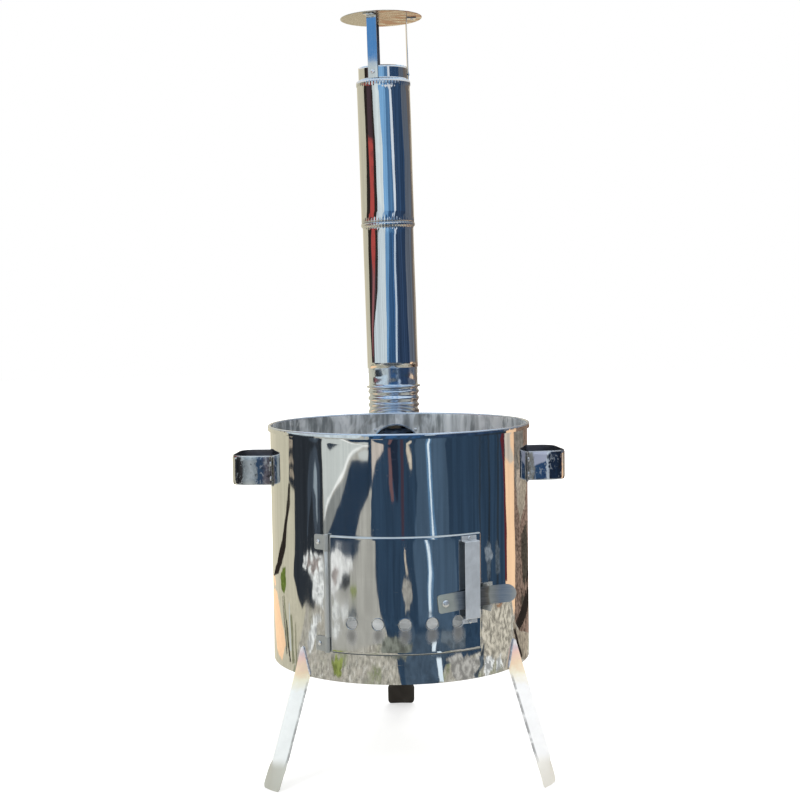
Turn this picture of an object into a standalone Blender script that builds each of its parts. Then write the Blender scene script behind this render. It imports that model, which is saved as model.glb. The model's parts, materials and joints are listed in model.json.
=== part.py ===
# Cauldron stove: an open drum on three splayed legs, with a hinged firebox door, two
# strap handles and a push-fit flue that carries a rain cap.
# Metres, +Z up, the door faces -Y. The origin is on the ground, below the middle of
# the whole stove. Azimuths are counted from the front, positive towards +X.
import math

import bmesh
import bpy
from mathutils import Matrix, Vector

# Sizes that all pieces share
gap = 0.0003                    # air between pieces that touch
overrun = 0.01                  # how far a cutter runs past what it cuts
merge = 0.00001                 # distance at which coincident points are merged

# Drum, floor and rolled rim
drum_radius = 0.225
drum_bottom = 0.178
drum_height = 0.408
drum_sheet = 0.001
drum_steps = 64
rim_height = 0.009
rim_thickness = 0.005
floor_sheet = 0.001
floor_flange = 0.010
floor_steps = 48

# Fire grate and the three brackets that carry it
grate_rise = 0.122              # underside above the drum's lower edge
grate_thickness = 0.003
grate_margin = 0.010            # ring of air between grate and wall
slot_width = 0.010
slot_pitch = 0.036
slot_count = 9
slot_border = 0.018
bracket_sheet = 0.002
bracket_width = 0.022
bracket_drop = 0.028
bracket_shelf = 0.026
bracket_azimuths = {"left": math.radians(-70), "right": math.radians(70), "back": math.radians(180)}

# Door: a shallow tray whose border folds back to the wall
door_sheet = 0.001
door_proud = 0.003              # outer face beyond the drum wall
door_rise = 0.0480              # above the drum's lower edge
door_height = 0.1930
door_right = math.radians(33.9)
door_fold = 0.003
door_lap = 0.010                # how far the door covers the wall round its opening
door_columns = 12               # facets on each side of the middle
hole_radius = 0.0100
hole_rise = 0.051               # above the door's lower edge, as the next rises
hole_spacing = math.radians(11.15)
hole_count = 5

# Hinge at the door's left side
pin_radius = 0.0028
pin_azimuth = math.radians(-33.4)
pin_head_radius = 0.0044
pin_head_top = 0.0031
pin_head_height = 0.0018
leaf_sheet = 0.0015
leaf_height = 0.025
leaf_width = 0.026
leaf_rivet_share = 0.68         # of the leaf, from the pin
curl_angle = math.radians(290)
curl_steps = 10

# Latch: bar, bridge that guides it, keeper that carries its end
latch_azimuth = math.radians(16.7)
latch_rise = 0.0825
latch_tilt = math.radians(6)    # the bar's end rests a little higher than its pivot
latch_sheet = 0.002
latch_half_height = 0.0150
latch_tail = 0.0125             # from the pivot to the bar's left end
latch_tip_length = 0.037
latch_corner = 0.0044           # cut off the tail's corners
latch_tip_bend = math.radians(25)
pivot_radius = 0.003
pivot_head_radius = 0.0062
pivot_head_height = 0.0032
pivot_tail_radius = 0.005
bridge_azimuth = math.radians(27.7)
bridge_width = 0.028
bridge_sheet = 0.0015
bridge_rise = 0.0460
bridge_lower_tab = 0.0098
bridge_upper_tab = 0.0082
bridge_slope_share = 0.3        # the lower ramp's run for its rise
keeper_azimuth = math.radians(34.8)
keeper_sheet = 0.002
keeper_foot = 0.020
keeper_rivet_share = 0.6        # of the foot, from the lug
keeper_rise = 0.018             # part of the lug behind the bar, above the bar's middle
keeper_ledge = 0.010
keeper_reach = 0.006            # how far the ledge passes the bar's back

# Rivets
rivet_head = 0.0042
small_rivet_head = 0.0030       # the bridge's rivets, on narrow tabs
rivet_rise = 0.0022
dome_share = 0.72               # a domed head's shoulder, across and up
rivet_shank = 0.002
rivet_tail = 0.003
rivet_tail_height = 0.0011
rivet_steps = 8

# Strap handles
handle_azimuths = {"left": math.radians(-96), "right": math.radians(96)}
handle_drop = 0.103             # lower edge below the drum's top
handle_height = 0.051
handle_sheet = 0.0015
handle_reach = 0.0657           # outer face beyond the drum wall
handle_half_spread = 0.0757     # from the middle to a foot's end, along the wall
handle_foot = 0.0190
handle_corner = 0.027
handle_heel = 0.004
handle_rivet_inset = 0.013

# Legs: strips folded to a ridge that faces outwards. The ridge meets the wall in a point, and
# the toe is pressed almost flat.
leg_azimuths = {"front_left": math.radians(-48.5), "front_right": math.radians(55.5),
                "back": math.radians(179)}
leg_leans = {"front_left": 0.0, "front_right": -0.20, "back": 0.0}     # sideways for each drop
leg_splays = {"front_left": math.radians(20.4), "front_right": math.radians(25.0),
              "back": math.radians(20.4)}
leg_half_width = 0.0178
leg_ridge = 0.0180              # how far the ridge stands off the wall at the drum's lower edge
leg_tip_ridge = 0.0020          # the same at the leg's upper end
leg_tip_rise = 0.047            # upper end above the drum's lower edge
leg_sheet = 0.002
toe_length = 0.050
toe_splay = math.radians(8)
toe_dip = 0.0006                # what the ground plane cuts off the toe
toe_half_widths = {"front_left": 0.0200, "front_right": 0.0205, "back": 0.0260}
toe_shares = [0.45, 0.8, 0.93, 1.0]             # places along the toe
toe_width_shares = [1.0, 1.0, 0.98, 0.82]
toe_ridge_shares = [0.5, 0.2, 0.13, 0.1]

# Flue
tube_sheet = 0.0008
flue_drop = 0.071               # flue's middle below the drum's top
flue_reach = 0.115              # chimney's axis behind the drum's wall
stub_radius = 0.0485
stub_inside = 0.009
stub_outside = 0.030
flange_radius = 0.060
flange_steps = 10
collar_start = 0.006            # elbow's mouth, behind the drum wall
bend_radius = 0.085
pleat_count = 12
pleat_pitch = 0.0134
pleat_depth = 0.0032
elbow_steps = 20
ring_radius = 0.0535
ring_height = 0.006
neck_visible = 0.041
neck_hidden = 0.040
chimney_lean = math.radians(1.1)
pipe_radius = 0.050
pipe_steps = 40
lower_length = 0.276            # plain part below the joint bead
joint_bead = 0.003
joint_bead_height = 0.009
male_length = 0.040
upper_fit = 0.0012
upper_length = 0.265
top_bead = 0.0012
top_bead_height = 0.012
spigot_radius = 0.048
spigot_length = 0.025

# Rain cap
cap_radius = 0.080
cap_sheet = 0.0012
cap_rise = 0.096                # from the spigot's top to the cap
cap_steps = 48
strap_half_width = 0.01025
strap_sheet = 0.0015
strap_tab = 0.019
strap_rivet_share = 0.6         # of the tab, from the post
strap_corner = 0.003
strap_azimuths = {"front": math.radians(-24), "right": math.radians(93), "back": math.radians(196)}

# Places that follow from the sizes
drum_top = drum_bottom + drum_height
grate_height = drum_bottom + grate_rise
door_bottom = drum_bottom + door_rise
door_top = door_bottom + door_height
hole_height = door_bottom + hole_rise
latch_height = door_bottom + latch_rise
bridge_bottom = door_bottom + bridge_rise
handle_bottom = drum_top - handle_drop
flue_height = drum_top - flue_drop
rim_proud = rim_thickness - drum_sheet
wall_inner = drum_radius - drum_sheet
wall_inner_flat = wall_inner * math.cos(math.pi / drum_steps)
flue_offset = drum_radius + flue_reach
axis_y = (drum_radius + rim_proud - flue_offset - cap_radius) / 2
door_outer = drum_radius + door_proud
door_middle = door_outer - door_sheet / 2
door_inner_flat = (door_outer - door_sheet) * math.cos(door_right / (door_columns - 1) / 2)
door_border = drum_radius + gap + door_sheet
knuckle_inner = pin_radius + gap
knuckle_outer = knuckle_inner + leaf_sheet
pin_circle = drum_radius + gap + knuckle_outer
barrel_middle = knuckle_inner + door_sheet / 2
door_left = pin_azimuth + (knuckle_outer + gap) / drum_radius
bar_inner = door_outer + gap
bar_middle = bar_inner + latch_sheet / 2
bar_outer = bar_inner + latch_sheet
opening_inset = door_lap / drum_radius
chimney_y = axis_y + flue_offset
pleats_length = pleat_count * pleat_pitch
bend_length = bend_radius * math.pi / 2
ring_base = flue_height + bend_radius + pleats_length - bend_length
rim_outer = drum_radius + rim_proud
rim_round = rim_thickness / 2
keeper_along = bar_inner * math.tan(keeper_azimuth - latch_azimuth)
keeper_middle = latch_height + (keeper_along - keeper_sheet) * math.tan(latch_tilt)
bridge_plane = ((bar_outer / math.cos(bridge_azimuth + bridge_width / 2 / drum_radius - latch_azimuth)
                 + gap) + bridge_sheet / 2)
neck_radius = pipe_radius - tube_sheet - 2 * gap
upper_radius = pipe_radius + upper_fit + tube_sheet
upper_end = (neck_visible + lower_length + joint_bead_height + gap + upper_length + top_bead_height
             + spigot_length)

for item in list(bpy.data.objects):
    bpy.data.objects.remove(item, do_unlink=True)
parts = bpy.data.collections.new("cauldron_stove")
cutters = bpy.data.collections.new("cutters")
bpy.context.scene.collection.children.link(parts)
bpy.context.scene.collection.children.link(cutters)


# Materials

def make_material(name, colour, roughness, metallic):
    material = bpy.data.materials.new(name)
    material.use_nodes = True
    shader = material.node_tree.nodes["Principled BSDF"]
    shader.inputs["Base Color"].default_value = (*colour, 1.0)
    shader.inputs["Roughness"].default_value = roughness
    shader.inputs["Metallic"].default_value = metallic
    return material


mirror_steel = {"colour": (0.72, 0.73, 0.74), "roughness": 0.08, "metallic": 1.0}
brushed_steel = {"colour": (0.62, 0.63, 0.64), "roughness": 0.28, "metallic": 1.0}
grate_steel = {"colour": (0.20, 0.19, 0.18), "roughness": 0.60, "metallic": 1.0}


# Frames and placing

def outward(azimuth):
    return Vector((math.sin(azimuth), -math.cos(azimuth), 0.0))


def sideways(azimuth):
    return Vector((math.cos(azimuth), math.sin(azimuth), 0.0))


def around(azimuth, radius, height):
    # A point on a circle round the drum's axis
    return Vector((0.0, axis_y, height)) + outward(azimuth) * radius


def beside(azimuth, radius, along, height):
    # A point on the flat that faces an azimuth, so far sideways
    return around(azimuth, radius, height) + sideways(azimuth) * along


def radial_matrix(azimuth, radius, height, along=0.0):
    # Local Z points away from the drum's axis
    place = beside(azimuth, radius, along, height)
    turn = Matrix((sideways(azimuth), Vector((0, 0, 1)), outward(azimuth))).transposed()
    return Matrix.Translation(place) @ turn.to_4x4()


chimney_matrix = (Matrix.Translation((0.0, chimney_y, ring_base))
                  @ Matrix.Rotation(-chimney_lean, 4, "Y"))


def make_empty(name, matrix, parent=None):
    empty = bpy.data.objects.new(name, None)
    parts.objects.link(empty)
    empty.matrix_world = matrix
    if parent:
        ride(empty, parent)
    bpy.context.view_layer.update()
    return empty


def ride(item, parent):
    bpy.context.view_layer.update()
    item.parent = parent
    item.matrix_parent_inverse = parent.matrix_world.inverted()


def add_object(name, mesh, finish, parent, matrix=None):
    # A finish of None makes a cutter
    item = bpy.data.objects.new(name, mesh)
    if matrix:
        item.matrix_world = matrix
    if finish:
        parts.objects.link(item)
        if not mesh.materials:
            mesh.materials.append(make_material(name, **finish))
    else:
        cutters.objects.link(item)
        item.hide_render = True
        item.display_type = "WIRE"
    if parent:
        ride(item, parent)
    return item


# Shapes

def mesh_from(bm, name, smooth_angle=math.radians(35)):
    bmesh.ops.recalc_face_normals(bm, faces=bm.faces)
    mesh = bpy.data.meshes.new(name)
    bm.to_mesh(mesh)
    bm.free()
    mesh.shade_smooth()
    mesh.set_sharp_from_angle(angle=smooth_angle)
    return mesh


def arc(centre, radius, start, end, steps):
    # Points of an arc in a plane, both ends included
    angles = [start + (end - start) * step / steps for step in range(steps + 1)]
    return [(centre[0] + radius * math.cos(angle), centre[1] + radius * math.sin(angle))
            for angle in angles]


def rounded(points, radii, steps=4):
    # Rounds the inner corners of an open path in a plane
    path = [points[0]]
    for before, corner, after, radius in zip(points, points[1:], points[2:], radii):
        here = Vector(corner)
        back = (Vector(before) - here).normalized()
        ahead = (Vector(after) - here).normalized()
        half = back.angle(ahead) / 2
        reach = radius / math.tan(half)
        centre = here + (back + ahead).normalized() * radius / math.sin(half)
        first = here + back * reach - centre
        last = here + ahead * reach - centre
        turn = first.angle_signed(last)
        for step in range(steps + 1):
            angle = -turn * step / steps
            spoke = Matrix.Rotation(angle, 2) @ first
            path.append(tuple(centre + spoke))
    path.append(points[-1])
    return path


def add_screw(item, steps):
    screw = item.modifiers.new("turn", "SCREW")
    screw.steps = steps
    screw.render_steps = steps
    screw.use_merge_vertices = True
    screw.merge_threshold = merge
    screw.use_smooth_shade = True


def turned(name, profile, steps, finish, parent, matrix, closed=True):
    # A profile of (radius, height) turned round local Z, outer side first, downwards
    mesh = bpy.data.meshes.new(name)
    count = len(profile)
    edges = [(index, index + 1) for index in range(count - 1)]
    if closed:
        edges.append((count - 1, 0))
    mesh.from_pydata([(radius, 0.0, height) for radius, height in profile], edges, [])
    item = add_object(name, mesh, finish, parent, matrix)
    add_screw(item, steps)
    return item


def tube_profile(outer, thickness):
    # A wall of even thickness inside an outer line that runs downwards, corners mitred
    ways = [(Vector(after) - Vector(before)).normalized() for before, after in zip(outer, outer[1:])]
    normals = [Vector((way.y, -way.x)) for way in ways]
    inner = []
    for point, before, after in zip(outer, [normals[0]] + normals, normals + [normals[-1]]):
        mitre = (before + after) / (1.0 + before.dot(after))
        inner.append(tuple(Vector(point) + mitre * thickness))
    return outer + list(reversed(inner))


def cylinder(name, radius, length, steps, finish, parent, matrix):
    # Centred on its matrix, along local Z
    bm = bmesh.new()
    bmesh.ops.create_cone(bm, cap_ends=True, segments=steps, radius1=radius, radius2=radius,
                          depth=length)
    return add_object(name, mesh_from(bm, name), finish, parent, matrix)


def box(name, size, finish, parent, matrix):
    bm = bmesh.new()
    bmesh.ops.create_cube(bm, size=1.0)
    bmesh.ops.scale(bm, vec=size, verts=bm.verts)
    return add_object(name, mesh_from(bm, name), finish, parent, matrix)


def sector(name, inner, outer, left, right, low, high, steps, finish, parent):
    # A block of a ring round the drum's axis
    bm = bmesh.new()
    corners = [(inner, low), (outer, low), (outer, high), (inner, high)]
    start = outward(left)
    verts = [bm.verts.new(start * radius + Vector((0, 0, height))) for radius, height in corners]
    face = bm.faces.new(verts)
    bmesh.ops.spin(bm, geom=[face, *face.edges, *face.verts], cent=(0, 0, 0), axis=(0, 0, 1),
                   angle=right - left, steps=steps)
    matrix = Matrix.Translation((0.0, axis_y, 0.0))
    return add_object(name, mesh_from(bm, name), finish, parent, matrix)


def grid_sheet(name, rows, columns, place, thickness, finish, parent, matrix=None):
    # A sheet of rows by columns of points; place gives the point of each row and column
    bm = bmesh.new()
    bmesh.ops.create_grid(bm, x_segments=rows - 1, y_segments=columns - 1, size=1.0)
    for vert in bm.verts:
        row = round((vert.co.x + 1.0) / 2.0 * (rows - 1))
        column = round((vert.co.y + 1.0) / 2.0 * (columns - 1))
        vert.co = place(row, column)
    item = add_object(name, mesh_from(bm, name), finish, parent, matrix)
    solid = item.modifiers.new("sheet", "SOLIDIFY")
    solid.thickness = thickness
    solid.offset = 0.0
    solid.use_even_offset = True
    return item


def strip(name, path, across, half_widths, thickness, finish, parent, matrix=None, folds=None):
    # A bent sheet strip: the path is its middle line, with half its width at each point.
    # folds bends both edges of each point by a vector, which leaves a crease in the middle.
    columns = 3 if folds else 2

    def place(row, column):
        share = 2.0 * column / (columns - 1) - 1.0
        point = path[row] + across * half_widths[row] * share
        return point + folds[row] * abs(share) if folds else point

    return grid_sheet(name, len(path), columns, place, thickness, finish, parent, matrix)


def combine(item, other, operation):
    tool = item.modifiers.new(other.name, "BOOLEAN")
    tool.operation = operation
    tool.object = other
    tool.solver = "EXACT"


# The body empties, each on its joint's axis
stove = make_empty("stove", Matrix.Translation((0.0, axis_y, 0.0)))
pin_place = around(pin_azimuth, pin_circle, 0.0)
door_axis = make_empty("door_axis", Matrix.Translation(pin_place), stove)
latch_axis = make_empty("latch_axis", radial_matrix(latch_azimuth, bar_middle, latch_height),
                        door_axis)
grate_axis = make_empty("grate_axis", Matrix.Translation((0.0, axis_y, grate_height)), stove)
elbow_axis = make_empty("elbow_axis", Matrix.Translation((0.0, axis_y + drum_radius, flue_height)),
                        stove)
lower_axis = make_empty("lower_pipe_axis", chimney_matrix, elbow_axis)
upper_axis = make_empty("upper_pipe_axis", chimney_matrix, lower_axis)


# Rivets: a domed head outside, a shank through the sheets, a flat tail inside

def rivet_profile(head, rise, shank, grip, tail, tail_height):
    return [(0.0, rise), (head * dome_share, rise * dome_share), (head, 0.0), (shank, 0.0),
            (shank, -grip), (tail, -grip), (tail, -grip - tail_height), (0.0, -grip - tail_height)]


def add_rivet(name, matrix, grip, parent, carriers, head=rivet_head):
    # The matrix stands on the outer face of the sheets, local Z outwards
    outer = matrix @ Matrix.Translation((0.0, 0.0, gap))
    profile = rivet_profile(head, rivet_rise, rivet_shank, grip + 2 * gap, rivet_tail,
                            rivet_tail_height)
    rivet = turned(name, profile, rivet_steps, brushed_steel, parent, outer, closed=False)
    drill(name, matrix, rivet_shank, carriers)
    return rivet


def drill(name, matrix, radius, carriers, depth=overrun):
    hole = cylinder(name + "_hole", radius + gap, 2 * depth, rivet_steps, None, None, matrix)
    for carrier in carriers:
        combine(carrier, hole, "DIFFERENCE")


# Drum wall with its rolled rim

def build_drum():
    curl_centre = (rim_outer - rim_round, drum_top - rim_round)
    fillet_centre = (drum_radius, drum_top - rim_height + rim_proud)
    profile = [(drum_radius, drum_bottom), (wall_inner, drum_bottom)]
    profile += arc(curl_centre, rim_round, math.pi, 0.0, 6)
    profile += arc(fillet_centre, rim_proud, 0.0, -math.pi / 2, 3)
    drum = turned("drum_wall", profile, drum_steps, mirror_steel, stove, stove.matrix_world)
    mouth = sector("door_mouth_cut", drum_radius - overrun, drum_radius + overrun,
                   pin_azimuth + opening_inset, door_right - opening_inset,
                   door_bottom + door_lap, door_top - door_lap, 2 * door_columns, None, None)
    combine(drum, mouth, "DIFFERENCE")
    flue_turn = Matrix.Translation((0.0, axis_y + drum_radius, flue_height))
    flue_hole = cylinder("flue_hole_cut", stub_radius + gap, 4 * overrun, elbow_steps, None, None,
                         flue_turn @ Matrix.Rotation(math.pi / 2, 4, "X"))
    combine(drum, flue_hole, "DIFFERENCE")
    return drum


def build_floor():
    flange_outer = wall_inner_flat - gap
    flange_inner = flange_outer - floor_sheet
    top = drum_bottom + floor_flange
    profile = [(flange_outer, top), (flange_outer, drum_bottom), (0.0, drum_bottom),
               (0.0, drum_bottom + floor_sheet), (flange_inner, drum_bottom + floor_sheet),
               (flange_inner, top), (flange_outer, top)]
    return turned("floor_pan", profile, floor_steps, brushed_steel, stove, stove.matrix_world,
                  closed=False)


# Grate: a slotted plate that lifts out, on three brackets

def grate_outline():
    radius = wall_inner_flat - grate_margin
    outlines = [arc((0.0, 0.0), radius, 0.0, 2 * math.pi, floor_steps)[:-1]]
    round_end = slot_width / 2
    for index in range(slot_count):
        middle = (index - (slot_count - 1) / 2) * slot_pitch
        half = math.sqrt((radius - slot_border) ** 2 - (abs(middle) + round_end) ** 2)
        far = arc((middle, half - round_end), round_end, 0.0, math.pi, 4)
        near = arc((middle, round_end - half), round_end, math.pi, 2 * math.pi, 4)
        outlines.append(far + near)
    return outlines


def build_grate():
    curve = bpy.data.curves.new("fire_grate", "CURVE")
    curve.dimensions = "2D"
    curve.fill_mode = "BOTH"
    curve.extrude = grate_thickness / 2
    for outline in grate_outline():
        spline = curve.splines.new("POLY")
        spline.points.add(len(outline) - 1)
        for point, (x, y) in zip(spline.points, outline):
            point.co = (x, y, 0.0, 1.0)
        spline.use_cyclic_u = True
    matrix = grate_axis.matrix_world @ Matrix.Translation((0.0, 0.0, grate_thickness / 2))
    grate = bpy.data.objects.new("fire_grate", curve)
    parts.objects.link(grate)
    grate.matrix_world = matrix
    curve.materials.append(make_material("fire_grate", **grate_steel))
    ride(grate, grate_axis)
    return grate


def build_brackets():
    reach = math.sqrt(wall_inner_flat ** 2 - (bracket_width / 2) ** 2) - gap
    shelf = grate_height - gap - bracket_sheet / 2
    post = reach - bracket_sheet / 2
    corners = [(post, shelf - bracket_drop), (post, shelf), (post - bracket_shelf, shelf)]
    line = rounded(corners, [bracket_sheet])
    for side, azimuth in bracket_azimuths.items():
        path = [around(azimuth, radius, height) for radius, height in line]
        strip("grate_bracket_" + side, path, sideways(azimuth), [bracket_width / 2] * len(path),
              bracket_sheet, brushed_steel, stove)


# Door: a curved tray, its left side rolled round the hinge pin

def door_azimuth(column):
    # Columns 0 and the last one are the folded borders, and one column is at the middle
    last = 2 * door_columns
    fold = door_fold / drum_radius
    left = door_left + fold
    right = door_right - fold
    if column == 0:
        return door_left
    if column == last:
        return door_right
    half = last // 2
    if column <= half:
        return left * (half - column) / (half - 1)
    return right * (column - half) / (half - 1)


def build_door():
    heights = [door_bottom, door_bottom + door_fold, door_top - door_fold, door_top]
    left_border = pin_circle - barrel_middle
    right_border = door_border - door_sheet / 2

    def place(row, column):
        azimuth = door_azimuth(column)
        edge_row = row in (0, 3)
        radius = right_border if edge_row else door_middle
        if column == 0:
            radius = left_border
        if column == 2 * door_columns:
            radius = right_border
        return around(azimuth, radius, heights[row])

    door = grid_sheet("door_panel", 4, 2 * door_columns + 1, place, door_sheet, mirror_steel,
                      door_axis)
    barrel = build_barrel()
    combine(door, barrel, "UNION")
    for index in range(hole_count):
        azimuth = (index - (hole_count - 1) / 2) * hole_spacing
        matrix = radial_matrix(azimuth, door_outer, hole_height)
        hole = cylinder("air_hole_cut_" + str(index), hole_radius, 2 * overrun, 16, None, None,
                        matrix)
        combine(door, hole, "DIFFERENCE")
    return door


def curled_path(flat_azimuth, flat_radius, circle, turn_way):
    # A sheet that comes along the wall and rolls round the pin; the wall side is at -90 degrees
    start = -math.pi / 2
    curl = arc((0.0, 0.0), circle, start, start + turn_way * curl_angle, curl_steps)
    points = [around(flat_azimuth, flat_radius, 0.0)]
    for along, out in curl:
        points.append(beside(pin_azimuth, pin_circle + out, along, 0.0))
    return points


def build_barrel():
    # The door's own sheet, rolled outwards round the pin between the two leaves
    low = door_bottom + leaf_height + gap
    high = door_top - leaf_height - gap
    middle = (low + high) / 2
    seam = door_left + door_fold / 2 / drum_radius
    path = curled_path(seam, pin_circle - barrel_middle, barrel_middle, -1)
    path = [point + Vector((0, 0, middle)) for point in path]
    return strip("door_barrel", path, Vector((0, 0, 1)), [(high - low) / 2] * len(path),
                 door_sheet, None, door_axis)


def build_hinge(drum):
    leaf_middle = knuckle_outer - leaf_sheet / 2
    leaf_radius = pin_circle - leaf_middle
    starts = {"lower": door_bottom, "upper": door_top - leaf_height}
    flat = pin_azimuth - leaf_width / drum_radius
    for place, low in starts.items():
        middle = low + leaf_height / 2
        path = curled_path(pin_azimuth - leaf_width / drum_radius / 2, leaf_radius, leaf_middle, 1)
        path.insert(0, around(flat, leaf_radius, 0.0))
        path = [point + Vector((0, 0, middle)) for point in path]
        leaf = strip("hinge_leaf_" + place, path, Vector((0, 0, 1)), [leaf_height / 2] * len(path),
                     leaf_sheet, brushed_steel, stove)
        azimuth = pin_azimuth - leaf_width * leaf_rivet_share / drum_radius
        face = leaf_radius + leaf_sheet / 2
        add_rivet("hinge_rivet_" + place, radial_matrix(azimuth, face, middle),
                  face - wall_inner_flat, stove, [leaf, drum])
    low = door_bottom - gap
    high = door_top + gap
    profile = [(0.0, high + pin_head_height), (pin_head_top, high + pin_head_height),
               (pin_head_radius, high + pin_head_height / 2), (pin_head_radius, high),
               (pin_radius, high), (pin_radius, low), (0.0, low)]
    return turned("hinge_pin", profile, 12, brushed_steel, stove,
                  Matrix.Translation(pin_place), closed=False)


# Latch

def build_latch(door):
    # In plan: along the flat that faces the pivot, then the tip bent away from the drum
    bend = keeper_along + keeper_foot / 2
    tip_out = latch_tip_length * math.sin(latch_tip_bend)
    tip_along = latch_tip_length * math.cos(latch_tip_bend)
    stations = [(-latch_tail, 0.0), (-latch_tail + latch_corner, 0.0), (bend, 0.0)]
    halves = [latch_half_height - latch_corner, latch_half_height, latch_half_height]
    tip_shares = [0.5, 0.72, 0.88, 0.96, 1.0]
    for share in tip_shares:
        stations.append((bend + tip_along * share, tip_out * share))
        from_round = max(0.0, latch_tip_length * (share - 1) + latch_half_height)
        halves.append(math.sqrt(max(latch_half_height ** 2 - from_round ** 2,
                                    (latch_half_height / 3) ** 2)))
    path = [beside(latch_azimuth, bar_middle + out, along * math.cos(latch_tilt),
                   latch_height + along * math.sin(latch_tilt)) for along, out in stations]
    upwards = (Vector((0, 0, 1)) * math.cos(latch_tilt)
               - sideways(latch_azimuth) * math.sin(latch_tilt))
    bar = strip("latch_bar", path, upwards, halves, latch_sheet, brushed_steel, latch_axis)
    face = radial_matrix(latch_azimuth, bar_outer, latch_height)
    grip = bar_outer - door_inner_flat
    outer = face @ Matrix.Translation((0.0, 0.0, gap))
    profile = rivet_profile(pivot_head_radius, pivot_head_height, pivot_radius, grip + 2 * gap,
                            pivot_tail_radius, rivet_tail_height)
    turned("latch_pivot", profile, 16, brushed_steel, door_axis, outer, closed=False)
    drill("latch_pivot", face, pivot_radius, [bar, door])
    return bar


def build_bridge(door):
    tab = door_outer + gap + bridge_sheet / 2
    top = door_top - door_fold
    low_bend = bridge_bottom + bridge_lower_tab
    high_bend = top - bridge_upper_tab
    rise = bridge_plane - tab
    tab_end = low_bend - rise * bridge_slope_share
    corners = [(tab, bridge_bottom), (tab, tab_end), (bridge_plane, low_bend),
               (bridge_plane, high_bend), (tab, high_bend), (tab, top)]
    line = rounded(corners, [bridge_sheet] * 4, 2)
    path = [around(bridge_azimuth, radius, height) for radius, height in line]
    bridge = strip("latch_bridge", path, sideways(bridge_azimuth), [bridge_width / 2] * len(path),
                   bridge_sheet, brushed_steel, door_axis)
    face = tab + bridge_sheet / 2
    places = {"lower": (bridge_bottom + tab_end - bridge_sheet) / 2,
              "upper": top - (bridge_upper_tab - bridge_sheet) / 2}
    for place, height in places.items():
        add_rivet("bridge_rivet_" + place, radial_matrix(bridge_azimuth, face, height),
                  face - door_inner_flat, door_axis, [bridge, door], small_rivet_head)


def build_keeper(drum):
    foot_radius = drum_radius + gap + keeper_sheet / 2
    turn_azimuth = keeper_azimuth + keeper_sheet / 2 / drum_radius
    low = keeper_middle - latch_half_height / math.cos(latch_tilt) - gap - keeper_ledge
    high = keeper_middle + keeper_rise
    back = bar_inner / math.cos(keeper_azimuth - latch_azimuth) - 2 * gap
    points = [around(turn_azimuth + keeper_foot / drum_radius, foot_radius, 0.0),
              around(turn_azimuth + keeper_foot / drum_radius / 2, foot_radius, 0.0),
              around(turn_azimuth, foot_radius, 0.0),
              around(turn_azimuth, back + keeper_reach, 0.0)]
    path = [point + Vector((0, 0, (low + high) / 2)) for point in points]
    keeper = strip("latch_keeper", path, Vector((0, 0, 1)), [(high - low) / 2] * len(path),
                   keeper_sheet, brushed_steel, stove)
    notch_low = low + keeper_ledge
    size = Vector((2 * overrun, high - notch_low + overrun, 2 * overrun))
    centre = radial_matrix(turn_azimuth, back + overrun, notch_low + size.y / 2)
    notch = box("keeper_notch_cut", size, None, None, centre)
    combine(keeper, notch, "DIFFERENCE")
    face = foot_radius + keeper_sheet / 2
    azimuth = turn_azimuth + keeper_foot * keeper_rivet_share / drum_radius
    add_rivet("keeper_rivet", radial_matrix(azimuth, face, low + keeper_ledge / 2),
              face - wall_inner_flat, stove, [keeper, drum])


# Handles

def handle_line():
    # Half of the loop in plan: (azimuth offset sense, radius) as sideways and outward sizes
    foot = drum_radius + gap + handle_sheet / 2
    outer = drum_radius + handle_reach - handle_sheet / 2
    end = handle_half_spread / drum_radius
    heel = (handle_half_spread - handle_foot) / drum_radius
    feet = [(foot * math.sin(angle), foot * math.cos(angle)) for angle in (end, (end + heel) / 2)]
    bend = (foot * math.sin(heel), foot * math.cos(heel))
    corner = (bend[0], outer)
    half = rounded([feet[1], bend, corner, (0.0, outer)], [handle_heel, handle_corner], 5)[:-1]
    return [feet[0]] + half


def build_handles(drum):
    half = handle_line()
    line = [(-along, out) for along, out in half] + list(reversed(half))
    height = handle_bottom + handle_height / 2
    foot_face = drum_radius + gap + handle_sheet
    foot_middle = (handle_half_spread - handle_foot / 2) / drum_radius
    levels = {"lower": handle_bottom + handle_rivet_inset,
              "upper": handle_bottom + handle_height - handle_rivet_inset}
    for side, azimuth in handle_azimuths.items():
        path = [beside(azimuth, out, along, height) for along, out in line]
        handle = strip("handle_" + side, path, Vector((0, 0, 1)), [handle_height / 2] * len(path),
                       handle_sheet, mirror_steel, stove)
        for foot, sense in {"a": -1, "b": 1}.items():
            for level, rivet_height in levels.items():
                place = radial_matrix(azimuth + sense * foot_middle, foot_face, rivet_height)
                add_rivet("handle_rivet_" + "_".join((side, foot, level)), place,
                          foot_face - wall_inner_flat, stove, [handle, drum])


# Legs

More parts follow.
